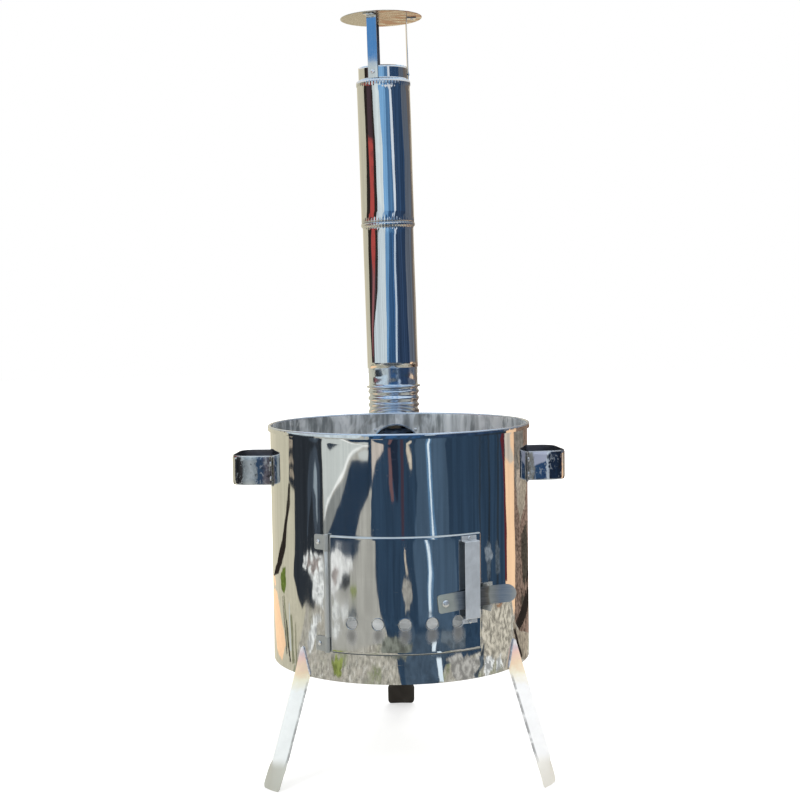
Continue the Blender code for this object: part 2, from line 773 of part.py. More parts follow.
def leg_line(side):
    # (radius, height) of the ridge from the top to the toe, and at each point half the width
    # and how far the edges lie behind the ridge. On the wall the edges follow its curve.
    face = drum_radius + gap + leg_sheet / 2
    run = math.tan(leg_splays[side])
    line, halves, drops = [], [], []
    for depth in (leg_tip_ridge, (leg_tip_ridge + leg_ridge) / 2, leg_ridge):
        half = leg_half_width * depth / leg_ridge
        rise = leg_tip_rise * (leg_ridge - depth) / (leg_ridge - leg_tip_ridge)
        line.append((face + depth, drum_bottom + rise))
        halves.append(half)
        drops.append(depth + drum_radius - math.sqrt(drum_radius ** 2 - half ** 2))
    ankle_height = toe_length * math.cos(toe_splay) - toe_dip
    ankle = face + leg_ridge + (drum_bottom - ankle_height) * run
    line.append((ankle, ankle_height))
    halves.append(halves[-1])
    drops.append(drops[-1])
    toe = toe_length * math.sin(toe_splay)
    for share, width_share, ridge_share in zip(toe_shares, toe_width_shares, toe_ridge_shares):
        line.append((ankle + toe * share, ankle_height * (1 - share) - toe_dip * share))
        halves.append(toe_half_widths[side] * width_share)
        drops.append(leg_ridge * ridge_share)
    return line, halves, drops


def build_legs():
    ground = box("ground_cut", Vector((1, 1, 1)) * 4 * drum_radius, None, None,
                 Matrix.Translation((0.0, axis_y, -2 * drum_radius)))
    for side, azimuth in leg_azimuths.items():
        line, halves, drops = leg_line(side)
        path = [beside(azimuth, radius, leg_leans[side] * max(0.0, drum_bottom - height), height)
                for radius, height in line]
        folds = [-outward(azimuth) * drop for drop in drops]
        leg = strip("leg_" + side, path, sideways(azimuth), halves, leg_sheet, mirror_steel, stove,
                    folds=folds)
        combine(leg, ground, "DIFFERENCE")


# Flue

def ring_tube(name, rings, steps, thickness, finish, parent):
    # A tube through rings of (centre, direction, radius), walled inwards
    bm = bmesh.new()
    before = None
    for centre, direction, radius in rings:
        turn = Vector((0, 1, 0)).rotation_difference(direction).to_matrix().to_4x4()
        stand = Matrix.Rotation(-math.pi / 2, 4, "X")
        made = bmesh.ops.create_circle(bm, segments=steps, radius=radius,
                                       matrix=Matrix.Translation(centre) @ turn @ stand)
        edges = list({edge for vert in made["verts"] for edge in vert.link_edges})
        if before:
            bmesh.ops.bridge_loops(bm, edges=before + edges)
        before = edges
    item = add_object(name, mesh_from(bm, name), finish, parent)
    solid = item.modifiers.new("sheet", "SOLIDIFY")
    solid.thickness = thickness
    solid.offset = -1.0
    solid.use_even_offset = True
    return item


def flue_point(distance):
    # The elbow's middle line, from the bend's start: a quarter circle, then up
    start = Vector((0.0, chimney_y - bend_radius, flue_height))
    if distance <= 0:
        return start + Vector((0, distance, 0)), Vector((0, 1, 0))
    if distance < bend_length:
        angle = distance / bend_radius
        centre = start + Vector((0, 0, bend_radius))
        spoke = Vector((0, math.sin(angle), -math.cos(angle)))
        return centre + spoke * bend_radius, Vector((0, math.cos(angle), math.sin(angle)))
    top = start + Vector((0, bend_radius, bend_radius))
    return top + Vector((0, 0, distance - bend_length)), Vector((0, 0, 1))


def build_stub(drum):
    flange_half = (flange_radius + overrun) / drum_radius
    inner = drum_radius + gap
    stub = sector("flue_stub", inner, inner + drum_sheet, math.pi - flange_half,
                  math.pi + flange_half, flue_height - flange_radius - overrun,
                  flue_height + flange_radius + overrun, flange_steps, mirror_steel, stove)
    face = Matrix.Translation((0.0, axis_y + drum_radius, flue_height))
    along = Matrix.Rotation(-math.pi / 2, 4, "X")
    disc = cylinder("flange_disc_tool", flange_radius, 4 * overrun, elbow_steps, None, None,
                    face @ along)
    combine(stub, disc, "INTERSECT")
    length = stub_inside + stub_outside
    middle = Matrix.Translation((0.0, 0.0, (stub_outside - stub_inside) / 2))
    rod = cylinder("stub_rod_tool", stub_radius, length, elbow_steps, None, None,
                   face @ along @ middle)
    combine(stub, rod, "UNION")
    bore = cylinder("stub_bore_cut", stub_radius - tube_sheet, length + 2 * overrun, elbow_steps,
                    None, None, face @ along @ middle)
    combine(stub, bore, "DIFFERENCE")
    ring = (flange_radius + stub_radius) / 2
    for index, angle in enumerate(math.radians(45 + 90 * quarter) for quarter in range(4)):
        azimuth = math.pi - math.asin(ring * math.cos(angle) / drum_radius)
        matrix = radial_matrix(azimuth, inner + drum_sheet, flue_height + ring * math.sin(angle))
        add_rivet("flange_rivet_" + str(index + 1), matrix, inner + drum_sheet - wall_inner_flat,
                  stove, [stub, drum])


def build_elbow():
    collar = stub_radius + gap + tube_sheet
    neck = neck_radius
    start = axis_y + drum_radius + collar_start - (chimney_y - bend_radius)
    rings = []
    for distance in (start, -gap):
        rings.append((*flue_point(distance), collar))
    for half in range(2 * pleat_count):
        distance = (half + 1) * pleat_pitch / 2
        radius = collar + pleat_depth / 2 if half % 2 == 0 else collar - pleat_depth / 2
        rings.append((*flue_point(distance), radius))
    base = Vector((0.0, chimney_y, ring_base))
    lean = Vector((-math.sin(chimney_lean), 0.0, math.cos(chimney_lean)))
    ring_shares = {0.25: neck, 0.45: ring_radius, 0.75: ring_radius, 1.0: neck}
    for share, radius in ring_shares.items():
        rings.append((base + lean * ring_height * share, lean, radius))
    rings.append((base + lean * (neck_visible + neck_hidden), lean, neck))
    return ring_tube("flue_elbow", rings, elbow_steps, tube_sheet, mirror_steel, elbow_axis)


def build_pipes():
    bottom = neck_visible
    bead = bottom + lower_length
    shoulder = bead + joint_bead_height
    outer = [(pipe_radius, shoulder + male_length), (pipe_radius, shoulder),
             (pipe_radius + joint_bead, shoulder),
             (pipe_radius + joint_bead, bead + joint_bead), (pipe_radius, bead),
             (pipe_radius, bottom)]
    turned("lower_pipe", tube_profile(outer, tube_sheet), pipe_steps, mirror_steel, lower_axis,
           chimney_matrix)
    foot = shoulder + gap
    outer = [(spigot_radius, upper_end), (spigot_radius, upper_end - spigot_length),
             (upper_radius + top_bead, upper_end - spigot_length),
             (upper_radius + top_bead, foot + upper_length + top_bead),
             (upper_radius, foot + upper_length), (upper_radius, foot)]
    return turned("upper_pipe", tube_profile(outer, tube_sheet), pipe_steps, mirror_steel,
                  upper_axis, chimney_matrix)


def build_cap(pipe):
    underside = upper_end + cap_rise
    disc = cylinder("cap_disc", cap_radius, cap_sheet, cap_steps, brushed_steel, upper_axis,
                    chimney_matrix @ Matrix.Translation((0.0, 0.0, underside + cap_sheet / 2)))
    post = spigot_radius + gap + strap_sheet / 2
    foot = upper_end - spigot_length + gap
    tab = underside - gap - strap_sheet / 2
    line = rounded([(post, foot), (post, tab), (post + strap_tab, tab)], [strap_corner])
    for side, azimuth in strap_azimuths.items():
        out, across = outward(azimuth), sideways(azimuth)
        path = [out * radius + Vector((0, 0, height)) for radius, height in line]
        strap = strip("cap_strap_" + side, path, across, [strap_half_width] * len(path),
                      strap_sheet, brushed_steel, upper_axis, chimney_matrix)
        turn = Matrix((across, Vector((0, 0, 1)), out)).transposed().to_4x4()
        face = out * (post + strap_sheet / 2) + Vector((0, 0, upper_end - spigot_length / 2))
        inner = (spigot_radius - tube_sheet) * math.cos(math.pi / pipe_steps)
        add_rivet("cap_rivet_low_" + side, chimney_matrix @ Matrix.Translation(face) @ turn,
                  post + strap_sheet / 2 - inner, upper_axis, [strap, pipe])
        top = out * (post + strap_tab * strap_rivet_share) + Vector((0, 0, underside + cap_sheet))
        add_rivet("cap_rivet_top_" + side, chimney_matrix @ Matrix.Translation(top),
                  cap_sheet + gap + strap_sheet, upper_axis, [strap, disc])


drum_wall = build_drum()
build_floor()
build_grate()
build_brackets()
door_panel = build_door()
build_hinge(drum_wall)
build_latch(door_panel)
build_bridge(door_panel)
build_keeper(drum_wall)
build_handles(drum_wall)
build_legs()
build_stub(drum_wall)
build_elbow()
upper_pipe = build_pipes()
build_cap(upper_pipe)
bpy.context.view_layer.update()
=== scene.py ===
import json
import math
import random

import bmesh
import bpy
from mathutils import Matrix, Vector, noise


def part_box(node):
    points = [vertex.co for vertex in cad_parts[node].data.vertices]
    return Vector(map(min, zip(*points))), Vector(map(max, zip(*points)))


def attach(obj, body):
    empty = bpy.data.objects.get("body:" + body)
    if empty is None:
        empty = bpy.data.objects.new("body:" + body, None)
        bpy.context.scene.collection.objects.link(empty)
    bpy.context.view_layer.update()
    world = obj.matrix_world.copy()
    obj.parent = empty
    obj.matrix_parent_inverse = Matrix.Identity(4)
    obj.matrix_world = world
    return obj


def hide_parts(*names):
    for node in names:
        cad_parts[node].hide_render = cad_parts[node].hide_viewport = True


# A polished stainless stove for hanging a cauldron. Metres, +Z up, the door faces -Y.
# Azimuths are counted from the front, positive towards +X.
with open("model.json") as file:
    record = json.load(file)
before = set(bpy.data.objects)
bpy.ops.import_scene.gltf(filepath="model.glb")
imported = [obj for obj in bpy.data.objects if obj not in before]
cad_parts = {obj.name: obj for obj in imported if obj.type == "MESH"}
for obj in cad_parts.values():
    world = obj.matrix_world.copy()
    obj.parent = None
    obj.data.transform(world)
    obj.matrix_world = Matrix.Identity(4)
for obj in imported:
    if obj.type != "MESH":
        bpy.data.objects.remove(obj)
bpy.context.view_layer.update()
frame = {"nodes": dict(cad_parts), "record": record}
scene = bpy.context.scene
bodyOf = {node: body for body, nodes in frame["record"]["behaviour"]["bodies"].items() for node in nodes}

axisY = -0.0955                                 # the drum's axis
drumRadius = 0.225
gap = 0.0003                                    # air between pieces that touch
print("frame loaded:", len(frame["nodes"]), "nodes")

# Where the photograph was taken from: a little left of the front and above the drum
camera = {"distance": 2.48835, "height": 0.791175, "azimuth": -1.5, "pitch": 3.82, "roll": -0.83,
          "aim": -1.8 / 1421, "lens": 1421 / 800 * 36}


# Frames and placing

def outward(azimuth):
    return Vector((math.sin(azimuth), -math.cos(azimuth), 0.0))


def sideways(azimuth):
    return Vector((math.cos(azimuth), math.sin(azimuth), 0.0))


def around(azimuth, radius, height):
    return Vector((0.0, axisY, height)) + outward(azimuth) * radius


def beside(azimuth, radius, along, height):
    return around(azimuth, radius, height) + sideways(azimuth) * along


def standOn(azimuth, radius, height):           # local Z points away from the drum's axis
    turn = Matrix((sideways(azimuth), Vector((0, 0, 1)), outward(azimuth))).transposed()
    return Matrix.Translation(around(azimuth, radius, height)) @ turn.to_4x4()


cameraPlace = around(math.radians(camera["azimuth"]), camera["distance"], camera["height"])


def linear(tone):                               # "#rrggbb" as linear light
    parts = [int(tone[place:place + 2], 16) / 255 for place in (1, 3, 5)]
    return [part / 12.92 if part <= 0.04045 else ((part + 0.055) / 1.055) ** 2.4 for part in parts]


def ease(share):
    share = max(0.0, min(1.0, share))
    return share * share * (3.0 - 2.0 * share)


def spread(start, end, steps):                  # evenly spaced values, both ends included
    return [start + (end - start) * step / steps for step in range(steps + 1)]


# Materials: a wire carries one value, colour or vector through a paint's nodes

class Wire:
    def __init__(self, paint, socket):
        self.paint, self.socket = paint, socket

    def maths(self, operation, *values):
        return self.paint.node("Math", {"operation": operation}, dict(enumerate(values)))

    def __add__(self, other):
        return self.maths("ADD", self, other)

    def __sub__(self, other):
        return self.maths("SUBTRACT", self, other)

    def __rsub__(self, other):
        return self.maths("SUBTRACT", other, self)

    def __mul__(self, other):
        return self.maths("MULTIPLY", self, other)

    def __truediv__(self, other):
        return self.maths("DIVIDE", self, other)

    def __rtruediv__(self, other):
        return self.maths("DIVIDE", other, self)

    def __pow__(self, other):
        return self.maths("POWER", self, other)

    __radd__ = __add__
    __rmul__ = __mul__

    def size(self):
        return self.maths("ABSOLUTE", self)

    def most(self, other):
        return self.maths("MAXIMUM", self, other)

    def rise(self, low, high):                  # 0 below low, 1 above high, eased between
        return self.paint.node("MapRange", {"interpolation_type": "SMOOTHSTEP"},
                               {"Value": self, "From Min": low, "From Max": high})


class Paint:
    def __init__(self, name):
        self.material = bpy.data.materials.new(name)
        self.material.use_nodes = True
        self.tree = self.material.node_tree
        self.shader = self.tree.nodes["Principled BSDF"]

    def node(self, kind, settings=None, values=None, output=0):
        made = self.tree.nodes.new("ShaderNode" + kind)
        for name, value in (settings or {}).items():
            if name == "stops":
                while len(made.color_ramp.elements) < len(value):
                    made.color_ramp.elements.new(0.5)
                for element, (place, tone) in zip(made.color_ramp.elements, value):
                    element.position = place
                    element.color = (*tone, 1.0)
            else:
                setattr(made, name, value)
        for name, value in (values or {}).items():
            self.feed(made.inputs[name], value)
        return Wire(self, made.outputs[output])

    def feed(self, socket, value):
        if isinstance(value, Wire):
            self.tree.links.new(value.socket, socket)
        elif isinstance(value, (tuple, list)) and len(value) == 3 and len(socket.default_value) == 4:
            socket.default_value = (*value, 1.0)
        else:
            socket.default_value = value

    def set(self, **values):                    # BaseColor="..." feeds the shader's Base Color
        for name, value in values.items():
            words = "".join(" " + letter if letter.isupper() else letter for letter in name).strip()
            self.feed(self.shader.inputs[words], value)

    def place(self):
        return self.node("TexCoord", output="Object")

    def parts(self, vector):
        split = self.node("SeparateXYZ", values={0: vector})
        return [Wire(self, split.socket.node.outputs[axis]) for axis in range(3)]

    def vector(self, x, y, z):
        return self.node("CombineXYZ", values={0: x, 1: y, 2: z})

    def scaled(self, vector, factors):
        return self.node("VectorMath", {"operation": "MULTIPLY"}, {0: vector, 1: factors})

    def cloud(self, vector, scale, detail=2.0, rough=0.5, distortion=0.0):
        return self.node("TexNoise", None, {"Vector": vector, "Scale": scale, "Detail": detail,
                                            "Roughness": rough, "Distortion": distortion})

    def mix(self, factor, first, second, way="MIX"):
        return self.node("Mix", {"data_type": "RGBA", "blend_type": way},
                         {0: factor, 6: first, 7: second}, output=2)

    def dent(self, height, distance, strength=1.0, under=None):
        values = {"Height": height, "Distance": distance, "Strength": strength}
        if under:
            values["Normal"] = under
        return self.node("Bump", None, values)

    def turned(self, along, across):            # the angle whose tangent is along / across
        return self.node("Math", {"operation": "ARCTAN2"}, {0: along, 1: across})

    def rolled(self, centreY, radius):          # arc length and height on a rolled sheet
        x, y, z = self.parts(self.place())
        return self.turned(x, centreY - y) * radius, z


def tinted(base, factor):
    return [channel * factor for channel in base]


# Painted light: the surfaces below the grate glow patchily, standing in for light from the sky that reaches
# the space there
paintedDaylight = {"whole": 0.284, "gone": 0.298, "patchScale": 11.0, "patchLow": 0.33, "contrast": 3.0,
            "tone": (0.30, 0.31, 0.31)}


def addPaintedDaylight(paint):
    place = paint.place()
    height = paint.parts(place)[2]
    patch = (paint.cloud(place, paintedDaylight["patchScale"]) - paintedDaylight["patchLow"]) * paintedDaylight["contrast"]
    shade = (1 - height.rise(paintedDaylight["whole"], paintedDaylight["gone"])) * patch
    # painted light: an emitted glow that fades out above the grate
    paint.set(EmissionColor=paint.mix(shade, (0.0, 0.0, 0.0), paintedDaylight["tone"]), EmissionStrength=1.0)


# Polished sheet: a mirror with faint rolling lines along its length, smears and a few fine scratches
def mirrorPaint(name, centreY, radius, look):
    paint = Paint(name)
    arc, z = paint.rolled(centreY, radius)
    flat = paint.vector(arc, 0.0, z)
    smear = paint.cloud(paint.scaled(flat, (1.0, 1.0, 0.55)), look["smearScale"], 4.0, 0.62, 0.6)
    lines = paint.cloud(paint.scaled(flat, look["lineStretch"]), look["lineScale"], 3.0, 0.6)
    rolls = paint.cloud(paint.scaled(flat, (0.03, 1.0, 1.0)), look["rollScale"], 2.0, 0.55)
    waves = paint.cloud(paint.scaled(flat, look["waveStretch"]), look["waveScale"], 1.5, 0.4)
    spots = paint.cloud(flat, look["spotScale"], 3.0, 0.7).rise(0.66, 0.78)
    scratches = paint.cloud(paint.scaled(flat, (0.12, 1.0, 1.0)), 240.0, 2.0, 0.5).rise(0.70, 0.74)
    colour = paint.mix(smear.rise(0.35, 0.75) * look["smearShare"], look["tone"],
                       tinted(look["tone"], 0.86))
    colour = paint.mix(rolls.rise(0.45, 0.8) * look["rollShare"], colour, tinted(look["tone"], 1.16))
    colour = paint.mix((spots + scratches * 0.8) * look["spotShare"], colour, (0.80, 0.81, 0.82))
    metal = look["metal"]
    if "holes" in look:                         # a darker, less metallic patch below each air hole
        order = arc / (radius * look["holes"])
        off = (order - paint.node("Math", {"operation": "ROUND"}, {0: order})) * look["stainNarrow"]
        down = (z - look["stainHeight"] + (smear - 0.5) * look["stainWander"]) / look["stainReach"]
        blotch = 1 - ((off * off + down * down) ** 0.5).rise(0.2, 1.25)
        blotch = blotch * (1 - order.size().rise(look["lastHole"] + 0.4, look["lastHole"] + 0.6))
        colour = paint.mix(blotch * 0.8, colour, (0.15, 0.15, 0.14))
        metal = metal - blotch * 0.6
    paint.set(BaseColor=colour, Metallic=metal,
              Roughness=look["roughness"] + smear.rise(0.42, 0.8) * look["smearRoughness"]
              + (spots + scratches) * look["spotRoughness"])
    rippled = paint.dent(waves, look["waveDepth"])
    paint.set(Normal=paint.dent(lines, look["lineDepth"], 1.0, rippled))
    return paint


mirrorTone = (0.62, 0.64, 0.66)                 # what polished stainless gives back
drumLook = {"tone": mirrorTone, "metal": 1.0, "roughness": 0.035, "smearScale": 9.0,
            "smearShare": 0.5, "smearRoughness": 0.06, "lineStretch": (1.0, 1.0, 0.02), "lineScale": 700.0,
            "lineDepth": 0.000008, "rollScale": 190.0, "rollShare": 0.10,
            "waveStretch": (1.0, 1.0, 0.22), "waveScale": 15.0, "waveDepth": 0.0009,
            "spotScale": 95.0, "spotShare": 0.25, "spotRoughness": 0.10}
pipeLook = dict(drumLook, smearScale=22.0, lineScale=900.0, waveScale=26.0, waveDepth=0.00035,
                waveStretch=(1.0, 1.0, 0.3), spotScale=140.0, rollShare=0.05)
# the elbow's bluish tone is a painted reflection of blue surroundings on the pleats
elbowLook = dict(pipeLook, tone=(0.56, 0.62, 0.70), roughness=0.13, waveScale=34.0, waveDepth=0.0019,
                 waveStretch=(1.0, 1.0, 0.8), smearRoughness=0.12)
drumPaint = mirrorPaint("polishedDrum", axisY, drumRadius, drumLook)


# Satin sheet for the small fittings: grain one way, rubbed brighter in places
def satinPaint(name, tone, look):
    paint = Paint(name)
    place = paint.place()
    grain = paint.cloud(paint.scaled(place, look["grainStretch"]), look["grainScale"], 4.0, 0.65)
    blotch = paint.cloud(place, look["stainScale"], 4.0, 0.6, 0.5)
    colour = paint.mix(blotch.rise(0.35, 0.7), tinted(tone, look["dark"]), tone)
    colour = paint.mix(grain.rise(0.3, 0.75) * look["grainShare"], colour, tinted(tone, 1.12))
    paint.set(BaseColor=colour, Metallic=look["metal"],
              Roughness=look["roughness"] + grain.rise(0.3, 0.8) * look["grainRoughness"])
    paint.set(Normal=paint.dent(grain, look["grainDepth"],
                                1.0, paint.dent(blotch, look["stainDepth"])))
    return paint


fittingLook = {"grainStretch": (1.0, 1.0, 0.05), "grainScale": 620.0, "stainScale": 26.0, "dark": 0.86,
               "metal": 0.72, "roughness": 0.2, "grainRoughness": 0.12, "grainDepth": 0.000008,
               "stainDepth": 0.0002, "grainShare": 0.35}
quietLook = dict(fittingLook, metal=0.3, roughness=0.3, grainRoughness=0.03, grainDepth=0.000001,
                 grainShare=0.12)               # rubbed almost even
bridgePaint = satinPaint("satinBridge", (0.54, 0.58, 0.62),
                         dict(quietLook, dark=0.8, stainScale=40.0, grainShare=0.3))
hingePaint = satinPaint("satinHinge", (0.36, 0.38, 0.37), quietLook)
pinPaint = satinPaint("hingePin", (0.47, 0.49, 0.48), quietLook)
# Painted reflection: a bluish sheen for the top of the drum's rim, standing in for the sky
rimSkySheenPaint = satinPaint("rubbedRim", (0.60, 0.66, 0.74), dict(quietLook, metal=0.7, roughness=0.2))
keeperPaint = satinPaint("satinKeeper", (0.50, 0.52, 0.50), quietLook)
capTopPaint = satinPaint("capTop", (0.60, 0.62, 0.63),
                         dict(quietLook, metal=0.9, roughness=0.2, stainScale=14.0, grainShare=0.3,
                              grainStretch=(0.04, 1.0, 1.0), grainRoughness=0.1))
facePaint = satinPaint("handleFace", (0.60, 0.62, 0.65),
                       dict(quietLook, metal=1.0, roughness=0.08, stainScale=9.0, stainDepth=0.0012,
                            grainStretch=(1.0, 1.0, 0.04)))
# Painted shade: near-black for the handles' inner faces, inside the loop
handleInnerShadePaint = satinPaint("handleHollow", (0.15, 0.16, 0.20), dict(quietLook, metal=0.7))
# Painted shade: a dark satin for the door's downward-facing lower fold
lowerFoldShadePaint = satinPaint("doorLowerFold", (0.12, 0.15, 0.19), dict(quietLook, metal=0.8, roughness=0.15))
topFoldPaint = satinPaint("doorTopFold", (0.55, 0.59, 0.60), dict(quietLook, metal=0.5))
# Painted shade: near-black for the cap straps' side edges and the back strap's inner side
strapEdgeShadePaint = satinPaint("cutEdge", (0.05, 0.06, 0.09), quietLook)
rivetPaint = satinPaint("rivetHeads", (0.76, 0.78, 0.80),
                        dict(fittingLook, grainStretch=(1.0, 1.0, 1.0), roughness=0.14))
insidePaint = satinPaint("ashPan", (0.80, 0.80, 0.79),
                         dict(fittingLook, metal=0.35, roughness=0.4, grainRoughness=0.2,
                              stainScale=18.0, dark=0.8))
# painted glow below the grate, on the pan and the grate brackets
addPaintedDaylight(insidePaint)
gratePaint = satinPaint("gratePlate", (0.30, 0.29, 0.28),
                        dict(fittingLook, metal=0.9, roughness=0.42, grainRoughness=0.25,
                             stainScale=30.0, grainStretch=(1.0, 1.0, 1.0), grainScale=160.0,
                             grainDepth=0.0002, dark=0.6))
# Painted shade: near-black for the back leg's inner side
backLegShadePaint = satinPaint("shadedUnderside", (0.030, 0.027, 0.026),
                        dict(fittingLook, metal=0.6, roughness=0.35, grainRoughness=0.2, dark=0.6))


# Latch bar: satin, with painted shade where it bends and where the bridge covers its middle, and painted
# reflections in bands along it
barLook = {"start": 0.055, "length": 0.13, "wander": 0.012, "grain": (0.55, 0.57, 0.58),
           "metal": 0.35, "roughness": 0.2, "dentDepth": 0.0002,
           "tones": [(0.0, (0.36, 0.40, 0.37)), (0.17, (0.30, 0.33, 0.31)), (0.25, (0.09, 0.12, 0.16)),
                     (0.38, (0.06, 0.08, 0.11)), (0.58, (0.05, 0.05, 0.05)), (0.63, (0.10, 0.09, 0.07)),
                     (0.66, (0.24, 0.26, 0.25)), (0.72, (0.19, 0.21, 0.22)), (0.80, (0.13, 0.18, 0.25)),
                     (0.90, (0.20, 0.25, 0.31)), (1.0, (0.36, 0.38, 0.38))]}


def barPaintOf(name):
    paint = Paint(name)
    place = paint.place()
    grain = paint.cloud(paint.scaled(place, (0.06, 0.06, 1.0)), 500.0, 3.0, 0.6)
    wander = paint.cloud(place, 40.0, 3.0, 0.6)
    along = paint.parts(place)[0] + (wander - 0.5) * barLook["wander"] - barLook["start"]
    # painted shade and painted reflections, in bands along the bar
    tone = paint.node("ValToRGB", {"stops": barLook["tones"]}, {0: along / barLook["length"]})
    paint.set(BaseColor=paint.mix(grain.rise(0.3, 0.75) * 0.14, tone, barLook["grain"]),
              Metallic=barLook["metal"], Roughness=barLook["roughness"] + grain * 0.16 + wander * 0.1,
              Normal=paint.dent(wander, barLook["dentDepth"]))
    return paint


barPaint = barPaintOf("latchBar")


# Drum's inner wall: rubbed sheet with bright and dark streaks down it
innerLook = {"dark": (0.24, 0.26, 0.27), "pale": (0.74, 0.77, 0.79), "bright": (0.92, 0.94, 0.95),
             "sooty": (0.20, 0.20, 0.19), "streakScale": 46.0, "patchScale": 13.0, "metal": 0.5,
             "roughness": 0.24, "dentDepth": 0.0012}


def innerPaintOf(name):
    paint = Paint(name)
    arc, height = paint.rolled(axisY, drumRadius)
    flat = paint.vector(arc, 0.0, height)
    streak = paint.cloud(paint.scaled(flat, (1.0, 1.0, 0.16)), innerLook["streakScale"], 4.0, 0.62, 0.4)
    patch = paint.cloud(paint.scaled(flat, (1.0, 1.0, 0.5)), innerLook["patchScale"], 4.0, 0.6, 0.8)
    colour = paint.mix(streak.rise(0.38, 0.62), innerLook["dark"], innerLook["pale"])
    colour = paint.mix(patch.rise(0.52, 0.60) * 0.8, colour, innerLook["bright"])
    colour = paint.mix((1 - patch.rise(0.38, 0.44)) * 0.6, colour, innerLook["sooty"])
    paint.set(BaseColor=colour, Metallic=innerLook["metal"],
              Roughness=innerLook["roughness"] + streak * 0.2,
              Normal=paint.dent(patch, innerLook["dentDepth"]))
    # painted glow below the grate, on the inner wall
    addPaintedDaylight(paint)
    return paint


innerPaint = innerPaintOf("innerWall")


# Cap: satin sheet with straw heat tint that fans out in streaks, right of the front strap
heatTint = {"x": -0.075, "y": 0.200, "none": -0.050, "whole": -0.015, "wander": 0.03,
            "dark": (0.38, 0.38, 0.33), "pale": (0.50, 0.50, 0.44), "straw": (0.46, 0.36, 0.25),
            "brown": (0.40, 0.16, 0.05), "cream": (0.76, 0.68, 0.54), "metal": 0.75,
            "roughness": 0.22, "dentDepth": 0.00015}


def capPaintOf(name):
    paint = Paint(name)
    place = paint.place()
    x, y, z = paint.parts(place)
    swirl = paint.cloud(place, 30.0, 4.0, 0.6, 1.4)
    away, aside = x - heatTint["x"], y - heatTint["y"]
    reach = (away * away + aside * aside) ** 0.5
    fan = paint.vector(paint.turned(aside, away) * 5.0, reach * 14.0, 0.0)
    streaks = paint.cloud(fan, 1.6, 4.0, 0.62, 0.4)
    right = (x + (swirl - 0.5) * heatTint["wander"]).rise(heatTint["none"], heatTint["whole"])
    colour = paint.mix(swirl.rise(0.35, 0.7), heatTint["dark"], heatTint["pale"])
    colour = paint.mix(right * 0.8, colour, heatTint["straw"])
    colour = paint.mix(right * streaks.rise(0.50, 0.55), colour, heatTint["brown"])
    colour = paint.mix(right * (1 - streaks.rise(0.40, 0.45)) * 0.9, colour, heatTint["cream"])
    paint.set(BaseColor=colour, Metallic=heatTint["metal"],
              Roughness=heatTint["roughness"] + swirl.rise(0.4, 0.8) * 0.12,
              Normal=paint.dent(swirl, heatTint["dentDepth"]))
    return paint


capPaint = capPaintOf("capSheet")
strapPaint = satinPaint("capStrap", (0.64, 0.66, 0.68),
                        dict(fittingLook, metal=1.0, roughness=0.05, grainRoughness=0.03,
                             grainDepth=0.000001, stainDepth=0.00003, dark=0.92))


# Legs: a near-white strip, painted bright in place of the sky it reflects, with painted shade along its rims
# and on its toe, tinted by the weld at the upper end
# each leg's tone is a painted reflection, brighter or darker by how it faces the sky; its toe tone is
# painted shade
leg = {"legs": {"leg_front_left": {"azimuth": -48.5, "splay": 20.4, "lean": 0.0, "toeHalf": 0.0200,
                                   "tone": (0.93, 0.97, 0.96), "toeTone": (0.55, 0.56, 0.50)},
                "leg_front_right": {"azimuth": 55.5, "splay": 25.0, "lean": -0.20, "toeHalf": 0.0205,
                                    "tone": (1.0, 1.0, 0.99), "toeTone": (0.86, 0.84, 0.77)},
                "leg_back": {"azimuth": 179.0, "splay": 20.4, "lean": 0.0, "toeHalf": 0.0260,
                             "tone": (0.86, 0.88, 0.88), "toeTone": (0.60, 0.59, 0.55)}},
       "halfWidth": 0.0178, "ridge": 0.018, "tipRidge": 0.002, "tipRise": 0.047, "sheet": 0.002,
       "toe": 0.050, "toeSplay": 8.0, "dip": 0.0006, "bottom": 0.178,
       "shares": [0.15, 0.3, 0.45, 0.6, 0.72, 0.82, 0.9, 0.96, 1.0],
       "ridgeShares": [(0.0, 1.0), (0.45, 0.5), (0.8, 0.2), (0.93, 0.13), (1.0, 0.1)],
       "widthShares": [(0.0, 1.0), (0.8, 1.0), (0.93, 0.98), (1.0, 0.82)],
       "tint": [(0.0, (1.0, 1.0, 1.0)), (0.38, (1.0, 1.0, 1.0)), (0.55, (1.0, 0.93, 0.74)),
                (0.68, (1.0, 0.78, 0.55)), (0.82, (0.98, 0.68, 0.58)), (0.92, (0.84, 0.66, 0.68)),
                (1.0, (0.95, 0.92, 0.93))],
       "tintLow": 0.110, "tintHigh": 0.226, "toeLow": 0.034, "toeHigh": 0.054,
       "rimStart": 0.86, "rimEnd": 0.95, "rimLow": 0.160, "rimHigh": 0.178,
       "rimTone": (0.22, 0.22, 0.22), "metal": 0.06, "roughness": 0.3,
       "steps": 12, "bulge": 0.0006, "ridgeRound": 0.012, "toeLift": 0.0004, "ankleShare": 0.76}


